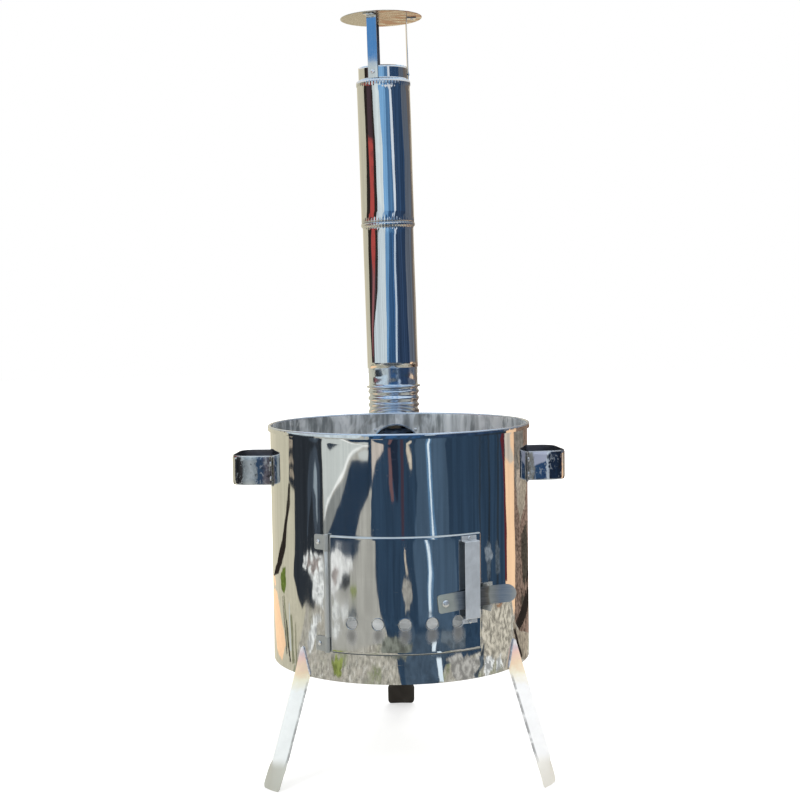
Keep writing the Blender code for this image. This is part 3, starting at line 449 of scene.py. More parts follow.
def legPaintOf(name, look):
    paint = Paint(name)
    place = paint.place()
    x, y, height = paint.parts(place)
    azimuth = math.radians(look["azimuth"])
    across = x * math.cos(azimuth) + (y - axisY) * math.sin(azimuth)
    across = across - (leg["bottom"] - height).most(0.0) * look["lean"]
    wander = paint.cloud(place, 60.0, 3.0, 0.6)
    grain = paint.cloud(paint.scaled(place, (1.0, 1.0, 0.04)), 800.0, 3.0, 0.6)
    heat = (height + (wander - 0.5) * 0.03 - leg["tintLow"]) / (leg["tintHigh"] - leg["tintLow"])
    tint = paint.node("ValToRGB", {"stops": leg["tint"]}, {0: heat})
    # painted reflection: the near-white tone stands in for the bright sky in the steel
    colour = paint.mix(wander.rise(0.3, 0.7) * 0.5, look["tone"], tinted(look["tone"], 0.9))
    colour = paint.mix(1.0, colour, tint, "MULTIPLY")
    # painted shade on the toe
    toe = 1 - (height + (wander - 0.5) * 0.006).rise(leg["toeLow"], leg["toeHigh"])
    colour = paint.mix(toe, colour, look["toeTone"])
    # painted shade along the rims
    rim = (across.size() / leg["halfWidth"]).rise(leg["rimStart"], leg["rimEnd"]) * (1 - toe)
    rim = rim * (1 - height.rise(leg["rimLow"], leg["rimHigh"])) * wander.rise(0.25, 0.6)
    colour = paint.mix(rim * 0.8, colour, leg["rimTone"])
    paint.set(BaseColor=colour, Metallic=leg["metal"],
              Roughness=leg["roughness"] + grain * 0.14 + wander * 0.08,
              Normal=paint.dent(grain, 0.00001, 1.0, paint.dent(wander, 0.0003)))
    return paint


legPaints = {node: legPaintOf(node.title().replace("_", ""), look) for node, look in leg["legs"].items()}


def weldPaintOf(name):
    paint = Paint(name)
    lump = paint.cloud(paint.place(), 260.0, 3.0, 0.6)
    paint.set(BaseColor=paint.mix(lump.rise(0.35, 0.65), (0.62, 0.60, 0.62), (0.95, 0.95, 0.96)),
              Metallic=0.5, Roughness=0.25 + lump * 0.25, Normal=paint.dent(lump, 0.0006))
    return paint


weldPaint = weldPaintOf("weldBead")
print("materials made")


# Mesh helpers

def layGrid(bm, rows, joined=False, wanted=None):
    # Faces between rows of points; joined closes each row, wanted says which faces to make
    made = [[bm.verts.new(point) for point in row] for row in rows]
    width = len(rows[0])
    for row in range(len(rows) - 1):
        for column in range(width if joined else width - 1):
            if wanted is None or wanted(row, column):
                after = (column + 1) % width
                bm.faces.new((made[row][column], made[row][after],
                              made[row + 1][after], made[row + 1][column]))
    return made


def turnProfile(bm, profile, columns, matrix):  # turns (radius, height) points round local Z
    angles = [2 * math.pi * column / columns for column in range(columns)]
    rows = [[matrix @ Vector((radius * math.sin(angle), -radius * math.cos(angle), height))
             for angle in angles] for radius, height in profile]
    return layGrid(bm, rows, joined=True)


def closeEnd(bm, row, centre):                  # a fan of faces from a ring to one point
    tip = bm.verts.new(centre)
    for column in range(len(row)):
        bm.faces.new((row[column], row[(column + 1) % len(row)], tip))


def newItem(name, bm, paint=None):              # turns a bmesh into an object of the scene
    mesh = bpy.data.meshes.new(name)
    bm.to_mesh(mesh)
    bm.free()
    if paint:
        mesh.materials.append(paint.material)
    item = bpy.data.objects.new(name, mesh)
    scene.collection.objects.link(item)
    return item


def addPiece(name, bm, paint, nodes, sheet=None, offset=0.0, bevel=None, cutters=()):
    bmesh.ops.recalc_face_normals(bm, faces=bm.faces)
    piece = newItem(name, bm, paint)
    piece.data.shade_smooth()
    if sheet:
        solid = piece.modifiers.new("sheet", "SOLIDIFY")
        solid.thickness = sheet
        solid.offset = offset
        solid.use_even_offset = True
    for cutter in cutters:
        cut = piece.modifiers.new("cut", "BOOLEAN")
        cut.operation = "DIFFERENCE"
        cut.solver = "EXACT"
        cut.object = cutter
    if bevel:
        soften(piece, bevel)
    if cutters:
        settle(piece, cutters)
    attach(piece, bodyOf[nodes[0]])
    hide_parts(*nodes)
    return piece


def soften(piece, width, steps=2):              # rounds the sheet's edges and keeps its faces flat
    edge = piece.modifiers.new("edge", "BEVEL")
    edge.width = width
    edge.segments = steps
    edge.limit_method = "ANGLE"
    edge.angle_limit = math.radians(50)
    flat = piece.modifiers.new("flat", "WEIGHTED_NORMAL")
    flat.weight = 50
    flat.keep_sharp = True


def settle(piece, cutters):                     # applies the modifiers and drops what cut it
    bpy.context.view_layer.update()
    applied = bpy.data.meshes.new_from_object(piece.evaluated_get(bpy.context.evaluated_depsgraph_get()))
    piece.modifiers.clear()
    piece.data = applied
    for cutter in cutters:
        bpy.data.objects.remove(cutter)


def finishWhere(piece, paint, test):
    piece.data.materials.append(paint.material)
    for face in piece.data.polygons:
        if test(face.center, face.normal):
            face.material_index = len(piece.data.materials) - 1


def finishInside(piece, paint, middle=None):    # faces that look towards the drum's axis, or middle
    middle = middle or around(0.0, 0.0, 0.0)
    finishWhere(piece, paint, lambda centre, normal:
                normal.dot((centre - middle) * Vector((1, 1, 0))) < -0.3 * math.hypot(
                    centre.x - middle.x, centre.y - middle.y))


def makeCutter(radius, depth, matrix, columns=40):
    bm = bmesh.new()
    bmesh.ops.create_cone(bm, cap_ends=True, segments=columns, radius1=radius, radius2=radius,
                          depth=depth, matrix=matrix)
    cutter = newItem("cutter", bm)
    cutter.hide_render = True
    return cutter


def ripple(azimuth, height, wide, tall, seed):  # smooth noise that closes round the drum
    return noise.noise(Vector((math.sin(azimuth) * wide + seed, math.cos(azimuth) * wide,
                               height * tall)))


def crossing(table, share):                     # straight lines through (share, value) points
    for (low, first), (high, second) in zip(table, table[1:]):
        if share <= high:
            return first + (second - first) * (share - low) / (high - low)
    return table[-1][1]


def rounded(points, radii, steps=6):            # a path in a plane with its inner corners rounded
    path = [points[0]]
    for before, corner, after, radius in zip(points, points[1:], points[2:], radii):
        here = Vector(corner)
        back = (Vector(before) - here).normalized()
        ahead = (Vector(after) - here).normalized()
        half = back.angle(ahead) / 2
        reach = radius / math.tan(half)
        centre = here + (back + ahead).normalized() * radius / math.sin(half)
        first = here + back * reach - centre
        last = here + ahead * reach - centre
        turn = first.angle_signed(last)
        for step in range(steps + 1):
            path.append(tuple(centre + Matrix.Rotation(-turn * step / steps, 2) @ first))
    path.append(points[-1])
    return path


def addStrip(name, path, across, halves, sheet, paint, nodes, columns=5, bevel=0.0004, cutters=()):
    # A bent strip: its middle line, the way across it and half its width at each point
    bm = bmesh.new()
    layGrid(bm, [[point + across * half * share for share in spread(-1.0, 1.0, columns - 1)]
                 for point, half in zip(path, halves)])
    return addPiece(name, bm, paint, nodes, sheet=sheet, bevel=bevel, cutters=cutters)


# Drum: rolled wall with the door's mouth, the flue's hole and a curled rim
drum = {"sheet": 0.001, "bottom": 0.178, "top": 0.586, "rimHeight": 0.009, "rimThickness": 0.005,
        "columns": 288, "rows": 44, "left": -30.854, "right": 31.354, "low": 0.236, "high": 0.409,
        "flueHeight": 0.515, "flueHole": 0.0488, "wave": 0.00016, "waveWide": 2.6, "waveTall": 3.0,
        "fineWave": 0.00003, "fineWide": 11.0, "fineTall": 5.0, "calmBottom": 0.03, "calmTop": 0.06,
        "rubbed": 0.0042, "merge": 0.000001, "shoulderShare": 0.9, "cutDepth": 0.04}


def snapped(values, marks):                     # moves the nearest inner value onto each mark
    values = list(values)
    for mark in marks:
        nearest = min(range(1, len(values) - 1), key=lambda index: abs(values[index] - mark))
        values[nearest] = mark
    return values


def drumWave(azimuth, height):
    ends = ease((height - drum["bottom"]) / drum["calmBottom"])
    ends *= ease((drum["top"] - height) / drum["calmTop"])
    slow = ripple(azimuth, height, drum["waveWide"], drum["waveTall"], 3.0)
    quick = ripple(azimuth, height, drum["fineWide"], drum["fineTall"], 8.0)
    return ends * (slow * drum["wave"] + quick * drum["fineWave"])


def buildDrum():
    shoulder = drum["top"] - drum["rimHeight"]
    heights = snapped(spread(drum["bottom"], shoulder, drum["rows"]), (drum["low"], drum["high"]))
    count = drum["columns"]
    azimuths = snapped([-math.pi + 2 * math.pi * column / count for column in range(count)],
                       (math.radians(drum["left"]), math.radians(drum["right"])))
    left, right = (azimuths.index(math.radians(drum[side])) for side in ("left", "right"))
    low, high = heights.index(drum["low"]), heights.index(drum["high"])
    proud = drum["rimThickness"] - drum["sheet"]
    bead = drum["rimThickness"] / 2
    profile = [(drumRadius, height, 1.0) for height in heights]
    for angle in spread(-math.pi / 2, 0.0, 5)[1:]:
        profile.append((drumRadius + proud * (1 + math.sin(angle)),
                        shoulder + proud * (1 - math.cos(angle)) * drum["shoulderShare"], 0.0))
    for angle in spread(0.0, math.pi, 14):
        profile.append((drumRadius + proud - bead + bead * math.cos(angle),
                        drum["top"] - bead + bead * math.sin(angle), 0.0))
    first = len(profile)
    profile += [(drumRadius - drum["sheet"], height, 1.0) for height in reversed(heights)]
    rows = []
    for radius, height, share in profile + profile[:1]:
        rows.append([around(azimuth, radius + share * drumWave(azimuth, height), height)
                     for azimuth in azimuths])
    insideHigh, insideLow = first + len(heights) - 1 - high, first + len(heights) - 1 - low

    def wanted(row, column):
        inMouth = left <= column < right
        return not (inMouth and (low <= row < high or insideHigh <= row < insideLow))

    bm = bmesh.new()
    made = layGrid(bm, rows, joined=True, wanted=wanted)
    for column in (left, right):
        for step in range(high - low):
            bm.faces.new((made[low + step][column], made[low + step + 1][column],
                          made[insideLow - step - 1][column], made[insideLow - step][column]))
    for outer, inside in ((low, insideLow), (high, insideHigh)):
        for column in range(left, right):
            bm.faces.new((made[outer][column], made[outer][column + 1],
                          made[inside][column + 1], made[inside][column]))
    bmesh.ops.remove_doubles(bm, verts=bm.verts, dist=drum["merge"])
    back = Matrix.Translation((0.0, axisY + drumRadius, drum["flueHeight"]))
    hole = makeCutter(drum["flueHole"], drum["cutDepth"], back @ Matrix.Rotation(math.pi / 2, 4, "X"), 64)
    piece = addPiece("drumShell", bm, drumPaint, ["drum_wall"], cutters=[hole])
    finishInside(piece, innerPaint)
    # the faces on top of the rim get the painted bluish sheen
    finishWhere(piece, rimSkySheenPaint, lambda centre, normal: centre.z > drum["top"] - drum["rubbed"])
    piece.data.set_sharp_from_angle(angle=math.radians(40))


buildDrum()
print("drum made")


# Door: a curved skin whose border folds back to the wall, five air holes with turned-in lips
door = {"outer": 0.228, "sheet": 0.001, "low": 0.226, "high": 0.419, "left": -32.152, "right": 33.9,
        "fold": 0.0027, "columns": 150, "rows": 70, "wave": 0.00012, "calm": 0.02,
        "pinAzimuth": -33.4, "pinCircle": 0.2299, "barrel": 0.0036, "curl": 290.0, "leaf": 0.025,
        "pinSide": -0.1185, "holes": 5, "holeRadius": 0.010, "holeHeight": 0.277, "holeStep": 11.15,
        "lipShape": [(0.0012, 0.00005), (0.0003, 0.00045), (-0.0004, 0.0002), (-0.0007, -0.0006),
                     (-0.0007, -0.0028), (-0.0002, -0.0028), (0.0002, -0.0012)],
        "cutDepth": 0.02, "curlSteps": 28, "tongueTurn": 0.008, "tongueOut": 0.0015, "stainDrop": 0.0185}
doorPaint = mirrorPaint("polishedDoor", axisY, drumRadius,
                        dict(drumLook, waveScale=20.0, holes=math.radians(door["holeStep"]),
                             stainHeight=door["holeHeight"] - door["stainDrop"], stainNarrow=4.2,
                             stainWander=0.02, stainReach=0.0165, lastHole=2))


def doorRadius(azimuth, height):
    left, right = math.radians(door["left"]), math.radians(door["right"])
    across = max(0.0, door["fold"] - min(azimuth - left, right - azimuth) * door["outer"])
    along = max(0.0, door["fold"] - min(height - door["low"], door["high"] - height))
    reach = min(door["fold"], math.hypot(across, along))
    drop = door["fold"] - math.sqrt(door["fold"] ** 2 - reach ** 2)
    inside = min(1.0, min(azimuth - left, right - azimuth) * door["outer"] / door["calm"],
                 min(height - door["low"], door["high"] - height) / door["calm"])
    wave = door["wave"] * ease(inside) * ripple(azimuth, height, 4.0, 6.0, 21.0)
    return door["outer"] - drop + wave - door["sheet"] / 2


def foldedSteps(low, high, fold, steps):        # close together in the fold at both ends
    curve = [fold * (1 - math.cos(angle)) for angle in spread(0.0, math.pi / 2, 6)]
    middle = spread(low + fold, high - fold, steps)[1:-1]
    return [low + step for step in curve] + middle + [high - step for step in reversed(curve)]


def buildDoor():
    bm = bmesh.new()
    left, right = math.radians(door["left"]), math.radians(door["right"])
    azimuths = foldedSteps(left, right, door["fold"] / door["outer"], door["columns"])
    heights = foldedSteps(door["low"], door["high"], door["fold"], door["rows"])
    layGrid(bm, [[around(azimuth, doorRadius(azimuth, height), height) for azimuth in azimuths]
                 for height in heights])
    pin = math.radians(door["pinAzimuth"])
    curl = [-math.pi / 2 - turn for turn in spread(0.0, math.radians(door["curl"]), door["curlSteps"])]
    line = [around(left + door["tongueTurn"], drumRadius + door["tongueOut"], 0.0)]
    line += [beside(pin, door["pinCircle"] + door["barrel"] * math.sin(angle),
                    door["barrel"] * math.cos(angle), 0.0) for angle in curl]
    low, high = door["low"] + door["leaf"] + gap, door["high"] - door["leaf"] - gap
    layGrid(bm, [[point + Vector((0, 0, height)) for height in spread(low, high, 3)]
                 for point in line])
    holes = [standOn(math.radians((index - (door["holes"] - 1) / 2) * door["holeStep"]),
                     door["outer"], door["holeHeight"]) for index in range(door["holes"])]
    piece = addPiece("doorSkin", bm, doorPaint, ["door_panel"], sheet=door["sheet"], bevel=0.00035,
                     cutters=[makeCutter(door["holeRadius"], door["cutDepth"], hole) for hole in holes])
    rim = bmesh.new()
    rim.from_mesh(piece.data)
    section = [(door["holeRadius"] + wider, out) for wider, out in door["lipShape"]]
    for hole in holes:
        turnProfile(rim, section, 48, hole)
    rim.to_mesh(piece.data)
    rim.free()
    piece.data.shade_smooth()
    finishInside(piece, innerPaint)
    fold = door["fold"] * 0.7
    # painted shade on the lower fold
    finishWhere(piece, lowerFoldShadePaint, lambda centre, normal: centre.z < door["low"] + fold)
    finishWhere(piece, topFoldPaint, lambda centre, normal: centre.z > door["high"] - fold)
    finishWhere(piece, pinPaint, lambda centre, normal: centre.x < door["pinSide"])


buildDoor()
print("door made")


# Rivets: domed heads over the CAD rivets, each set on the face that it holds
rivet = {"head": 0.0042, "smallHead": 0.0030, "rise": 0.0022, "shank": 0.0018, "tail": 0.0030,
         "tailEdge": 0.0028, "tailTip": 0.0014, "tailStep": 0.0008, "tailRise": 0.0011,
         "brimShare": 0.12, "underShare": 0.97, "roundness": 0.8, "through": 0.0013, "columns": 28,
         "faces": {"hinge_rivet": 0.2268, "bridge_rivet": 0.2298, "keeper_rivet": 0.2273,
                   "handle_rivet": 0.2268, "flange_rivet": 0.2263}}


def addDome(name, node, matrix, head, rise, tail):
    # A head with a small rolled brim, a shank and the flattened end on the far side
    brim = rivet["brimShare"]
    profile = [(rivet["shank"], -tail), (rivet["shank"], 0.0), (head * rivet["underShare"], 0.0)]
    profile += [(head * math.cos(angle) ** rivet["roundness"], rise * (brim + (1 - brim) * math.sin(angle)))
                for angle in spread(0.0, math.pi / 2, 7)[:-1]]
    bm = bmesh.new()
    rings = turnProfile(bm, profile, rivet["columns"], matrix)
    closeEnd(bm, rings[-1], matrix @ Vector((0, 0, rise)))
    end = -tail - rivet["tailRise"]
    flat = [(rivet["shank"], -tail), (rivet["tail"], -tail),
            (rivet["tailEdge"], -tail - rivet["tailStep"]), (rivet["tailTip"], end)]
    rings = turnProfile(bm, flat, rivet["columns"], matrix)
    closeEnd(bm, rings[-1], matrix @ Vector((0, 0, end)))
    return addPiece(name, bm, rivetPaint, [node])


def camel(name):
    words = name.split("_")
    return words[0] + "".join(word.capitalize() for word in words[1:])


def nodeMiddle(node):
    low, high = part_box(node)
    return (low + high) / 2


for node in sorted(frame["nodes"]):
    for family, face in rivet["faces"].items():
        if node.startswith(family):
            middle = nodeMiddle(node)
            azimuth = math.atan2(middle.x, axisY - middle.y)
            head = rivet["smallHead"] if family == "bridge_rivet" else rivet["head"]
            addDome(camel(node), node, standOn(azimuth, face + gap, middle.z), head,
                    rivet["rise"], face - drumRadius + rivet["through"])
print("rivets made")


# Hinge: two leaves rolled round the pin
hinge = {"sheet": 0.0015, "width": 0.026, "height": 0.025, "shares": [1.0, 0.96, 0.88, 0.6, 0.3],
         "pin": 0.0028, "pinTip": 0.0024, "pinChamfer": 0.0005, "head": 0.0044, "headRise": 0.0018,
         "headShape": [(1.0, 0.0), (1.0, 0.0008), (0.85, 0.0014), (0.5, 0.001746)], "corner": 0.003}


def buildHinge():
    pin = math.radians(door["pinAzimuth"])
    middle = hinge["pin"] + gap + hinge["sheet"] / 2
    flat = drumRadius + gap + hinge["sheet"] / 2
    curl = [-math.pi / 2 + turn for turn in spread(0.0, math.radians(door["curl"]), door["curlSteps"])]
    for place, low in (("lower", door["low"]), ("upper", door["high"] - hinge["height"])):
        height = low + hinge["height"] / 2
        path = [around(pin - hinge["width"] * share / drumRadius, flat, height)
                for share in hinge["shares"]]
        path += [beside(pin, door["pinCircle"] + middle * math.sin(angle), middle * math.cos(angle),
                        height) for angle in curl]
        half = hinge["height"] / 2
        halves = [half - hinge["corner"], half - hinge["corner"] * 0.3] + [half] * (len(path) - 2)
        addStrip("hingeLeaf" + place.capitalize(), path, Vector((0, 0, 1)), halves, hinge["sheet"],
                 hingePaint, ["hinge_leaf_" + place])
    bm = bmesh.new()
    low, high = door["low"] - gap, door["high"] + gap
    stand = Matrix.Translation(around(pin, door["pinCircle"], 0.0))
    profile = [(hinge["pinTip"], low), (hinge["pin"], low + hinge["pinChamfer"]), (hinge["pin"], high)]
    profile += [(hinge["head"] * share, high + rise) for share, rise in hinge["headShape"]]
    rings = turnProfile(bm, profile, 28, stand)
    closeEnd(bm, rings[-1], stand @ Vector((0, 0, high + hinge["headRise"])))
    closeEnd(bm, rings[0], stand @ Vector((0, 0, low)))
    addPiece("hingePin", bm, pinPaint, ["hinge_pin"])


buildHinge()


# Latch: a bar on a pivot, the bridge that guides it; its round tip stands out from the drum
latch = {"azimuth": 16.7, "height": 0.3085, "tilt": 6.0, "inner": 0.2283, "sheet": 0.002,
         "half": 0.0150, "tail": 0.0125, "corner": 0.0044, "tip": 0.037, "bend": 25.0, "keeper": 34.8,
         "tipShares": [0.1, 0.2, 0.3, 0.4, 0.5, 0.6, 0.68, 0.75, 0.81, 0.86, 0.9, 0.935, 0.96, 0.98,
                       0.993, 1.0],
         "blunt": 0.12, "bow": 0.08, "keeperFoot": 0.020, "pivotHole": 0.0033, "pivotHead": 0.0062,
         "pivotRise": 0.0032, "pivotTail": 0.0045}
bridge = {"azimuth": 27.7, "width": 0.028, "sheet": 0.0015, "bottom": 0.272, "below": 0.003,
          "lowerTab": 0.0098, "upperTab": 0.0082, "slope": 0.3}


def buildLatch():
    azimuth = math.radians(latch["azimuth"])
    middle = latch["inner"] + latch["sheet"] / 2
    bend = latch["inner"] * math.tan(math.radians(latch["keeper"] - latch["azimuth"]))
    bend += latch["keeperFoot"] / 2
    tipOut = latch["tip"] * math.sin(math.radians(latch["bend"]))
    tipAlong = latch["tip"] * math.cos(math.radians(latch["bend"]))
    half, corner = latch["half"], latch["corner"]
    stations = [(-latch["tail"] + corner * (1 - math.cos(angle)), 0.0,
                 half - corner + corner * math.sin(angle)) for angle in spread(0.0, math.pi / 2, 5)]
    stations += [(along, 0.0, half) for along in spread(0.0, bend, 8)[1:]]
    for share in latch["tipShares"]:
        fromRound = max(0.0, latch["tip"] * (share - 1) + half)
        bow = latch["bow"] * math.sin(math.pi * share)
        stations.append((bend + tipAlong * share, tipOut * (share - bow),
                         math.sqrt(max(half ** 2 - fromRound ** 2, (half * latch["blunt"]) ** 2))))
    tilt = math.radians(latch["tilt"])
    path = [beside(azimuth, middle + out, along * math.cos(tilt),
                   latch["height"] + along * math.sin(tilt)) for along, out, wide in stations]
    upwards = Vector((0, 0, 1)) * math.cos(tilt) - sideways(azimuth) * math.sin(tilt)
    hole = makeCutter(latch["pivotHole"], door["cutDepth"], standOn(azimuth, middle, latch["height"]))
    addStrip("latchBar", path, upwards, [station[2] for station in stations],
             latch["sheet"], barPaint, ["latch_bar"], 7, 0.0005, [hole])
    face = latch["inner"] + latch["sheet"] + gap
    addDome("latchPivot", "latch_pivot", standOn(azimuth, face, latch["height"]),
            latch["pivotHead"], latch["pivotRise"], latch["pivotTail"])


def buildBridge():
    azimuth = math.radians(bridge["azimuth"])
    tab = door["outer"] + gap + bridge["sheet"] / 2
    barOuter = latch["inner"] + latch["sheet"]
    reach = math.radians(bridge["azimuth"] - latch["azimuth"]) + bridge["width"] / 2 / drumRadius
    plane = barOuter / math.cos(reach) + gap + bridge["sheet"] / 2
    top = door["high"] - bridge["below"]
    lowBend, highBend = bridge["bottom"] + bridge["lowerTab"], top - bridge["upperTab"]
    tabEnd = lowBend - (plane - tab) * bridge["slope"]
    corners = [(tab, bridge["bottom"]), (tab, tabEnd), (plane, lowBend), (plane, highBend),
               (tab, highBend), (tab, top)]
    line = rounded(corners, [bridge["sheet"]] * 4, 6)
    path = [around(azimuth, radius, height) for radius, height in line]
    addStrip("latchBridge", path, sideways(azimuth), [bridge["width"] / 2] * len(path),
             bridge["sheet"], bridgePaint, ["latch_bridge"])


buildLatch()
buildBridge()
print("hinge and latch made")


# Handles: strap loops with turned edges, painted with broken bands of reflected surroundings, painted glints
# and a painted highlight along the hems
handle = {"azimuths": {"handle_left": -96.0, "handle_right": 96.0}, "low": 0.483, "height": 0.051,
          "patchStart": {"handle_left": -0.295, "handle_right": 0.218}, "patchWidth": 0.077,
          "patches": {"handle_left": [(0.0, "#a39d8d"), (0.10, "#8b887c"), (0.13, "#1b1b1e"),
                                      (0.27, "#26272b"), (0.31, "#7d868c"), (0.45, "#b4bdc2"),
                                      (0.60, "#8d98a0"), (0.64, "#34506f"), (0.74, "#3b4c66"),
                                      (0.79, "#74707a"), (0.90, "#5c5a62"), (0.95, "#8f8b78")],
                      "handle_right": [(0.0, "#8f8d88"), (0.20, "#99978f"), (0.25, "#3c5c80"),
                                       (0.48, "#31507a"), (0.51, "#e6ecf2"), (0.545, "#c9d3dd"),
                                       (0.57, "#1e2a3f"), (0.72, "#24364f"), (0.86, "#1b2434"),
                                       (0.90, "#7a5c50"), (0.95, "#d3b59c"), (1.0, "#e8d5c6")]},
          "sheet": 0.0015, "reach": 0.0655, "spread": 0.0757, "foot": 0.019,
          "corner": 0.027, "heel": 0.004, "hem": 0.0022, "hemStart": 0.86, "hemWidth": 0.14,
          "footRows": 10, "grip": 0.258, "columns": 13, "wander": 0.016, "spark": (0.55, 0.60, 0.64),
          "dark": (0.02, 0.02, 0.025), "hemTone": (0.62, 0.66, 0.70), "paleTone": (0.60, 0.62, 0.74),
          "paleHeight": 0.030}


def handlePaintOf(node):
    paint = Paint(camel(node) + "Sheet")
    place = paint.place()
    x, y, height = paint.parts(place)
    wander = paint.cloud(place, 70.0, 2.5, 0.6, 0.4)
    broken = paint.cloud(paint.scaled(place, (1.0, 1.0, 0.7)), 130.0, 3.0, 0.65, 0.8)
    across = x + (wander - 0.5) * handle["wander"] - handle["patchStart"][node]
    across = across / handle["patchWidth"]
    stops = [(share, linear(tone)) for share, tone in handle["patches"][node]]
    # painted reflections: tones of the surroundings in bands across the strap
    patches = paint.node("ValToRGB", {"stops": stops}, {0: across})
    # painted glints and painted dark flecks break up the reflections
    colour = paint.mix(broken.rise(0.56, 0.62) * 0.5, patches, handle["spark"])
    colour = paint.mix((1 - broken.rise(0.36, 0.41)) * 0.7, colour, handle["dark"])
    if node == "handle_right":                  # painted pale reflection in the corner above the blue one
        above = (height - handle["low"] - handle["paleHeight"]) / 0.02
        pale = (above - (across - 0.36) * 1.5).rise(-0.1, 0.1)
        pale = pale * across.rise(0.18, 0.22) * (1 - across.rise(0.48, 0.52))
        colour = paint.mix(pale, colour, handle["paleTone"])
    edge = (height - handle["low"] - handle["height"] / 2).size() / (handle["height"] / 2)
    # painted highlight along the turned hems
    colour = paint.mix(edge.rise(0.90, 0.97) * 0.8, colour, handle["hemTone"])
    paint.set(BaseColor=colour, Metallic=0.45, Roughness=0.16 + broken * 0.12,
              Normal=paint.dent(wander, 0.0006))
    return paint


handlePaints = {node: handlePaintOf(node) for node in handle["azimuths"]}


def handleLine():
    foot = drumRadius + gap + handle["sheet"] / 2
    outer = drumRadius + handle["reach"] - handle["sheet"] / 2
    heel = (handle["spread"] - handle["foot"]) / drumRadius
    end = handle["spread"] / drumRadius
    feet = [(foot * math.sin(angle), foot * math.cos(angle)) for angle in spread(end, heel, 6)]
    half = rounded([feet[-2], feet[-1], (feet[-1][0], outer), (0.0, outer)],
                   [handle["heel"], handle["corner"]], 12)[1:-1]
    return feet[:-2] + half + [(half[-1][0] * share, outer) for share in (0.66, 0.33)]


def buildHandles():
    half = handleLine()
    line = [(-along, out) for along, out in half] + [(0.0, half[-1][1])] + list(reversed(half))
    shares = spread(-1.0, 1.0, handle["columns"] - 1)
    for node, degrees in handle["azimuths"].items():
        azimuth = math.radians(degrees)
        rows = []
        for index, (along, out) in enumerate(line):
            before, after = line[max(0, index - 1)], line[min(len(line) - 1, index + 1)]
            way = Vector(after) - Vector(before)
            inward = Vector((way.y, -way.x)).normalized()
            row = []
            for share in shares:
                height = handle["low"] + handle["height"] * (share + 1) / 2
                turned = ease((abs(share) - handle["hemStart"]) / handle["hemWidth"]) * handle["hem"] / 2
                if min(index, len(line) - 1 - index) < handle["footRows"]:
                    turned = 0.0                # the feet lie flat on the drum
                row.append(beside(azimuth, out + inward.y * turned, along + inward.x * turned, height))
            rows.append(row)
        bm = bmesh.new()
        layGrid(bm, rows)
        piece = addPiece(camel(node), bm, handlePaints[node], [node], sheet=handle["sheet"],
                         bevel=0.0004)
        settle(piece, ())
        # painted shade on the faces that look into the loop
        finishInside(piece, handleInnerShadePaint, around(azimuth, handle["grip"], 0.0))
        finishWhere(piece, facePaint, lambda centre, normal: normal.dot(outward(azimuth)) > 0.6)


buildHandles()
print("handles made")


# Legs: folded strip, its ridge outwards, pointed and welded at the top, the toe pressed flat
def legLine(look):
    # Ridge points of (radius, height), half the width, and how far the edges lie behind
    face = drumRadius + gap + leg["sheet"] / 2
    run = math.tan(math.radians(look["splay"]))
    line = []
    for share in spread(0.0, 1.0, 6):
        depth = leg["tipRidge"] + (leg["ridge"] - leg["tipRidge"]) * share
        half = leg["halfWidth"] * depth / leg["ridge"]
        line.append((face + depth, leg["bottom"] + leg["tipRise"] * (1 - share), half,
                     depth + drumRadius - math.sqrt(drumRadius ** 2 - half ** 2)))
    ankleHeight = leg["toe"] * math.cos(math.radians(leg["toeSplay"])) - leg["dip"]
    ankle = face + leg["ridge"] + (leg["bottom"] - ankleHeight) * run
    start = line[-1]
    for share in spread(0.0, 1.0, 10)[1:]:
        line.append((start[0] + (ankle - start[0]) * share,
                     leg["bottom"] + (ankleHeight - leg["bottom"]) * share, start[2], start[3]))
    toe = leg["toe"] * math.sin(math.radians(leg["toeSplay"]))
    for share in leg["shares"]:
        wide = crossing(leg["widthShares"], share) * min(1.0, leg["ankleShare"] + share)
        line.append((ankle + toe * share, ankleHeight * (1 - share) + leg["toeLift"], look["toeHalf"] * wide,
                     leg["ridge"] * crossing(leg["ridgeShares"], share)))
    return line


def buildLegs():
    soft = leg["ridgeRound"]
    for node, look in leg["legs"].items():
        line = legLine(look)
        azimuth = math.radians(look["azimuth"])
        rows = []
        for index, (radius, height, half, drop) in enumerate(line):
            aside = look["lean"] * max(0.0, leg["bottom"] - height)
            row = []
            for share in spread(-1.0, 1.0, leg["steps"]):
                fold = math.sqrt(share * share + soft) - math.sqrt(soft)
                fold /= math.sqrt(1 + soft) - math.sqrt(soft)
                bulge = leg["bulge"] * (1 - share * share) * ease(index / 6)
                row.append(beside(azimuth, radius - drop * fold - bulge, aside + half * share, height))
            rows.append(row)
        bm = bmesh.new()
        layGrid(bm, rows)
        piece = addPiece(camel(node), bm, legPaints[node], [node], sheet=leg["sheet"], bevel=0.0005)
        if node == "leg_back":                  # its inner side gets painted shade, for the drum's shadow above it
            settle(piece, ())
            finishInside(piece, backLegShadePaint)
        buildWeld(node, azimuth, line)


weld = {"steps": 26, "columns": 10, "above": 0.002, "proud": 0.0008, "half": 0.0019, "lumps": 0.0004,
        "flat": 0.8}


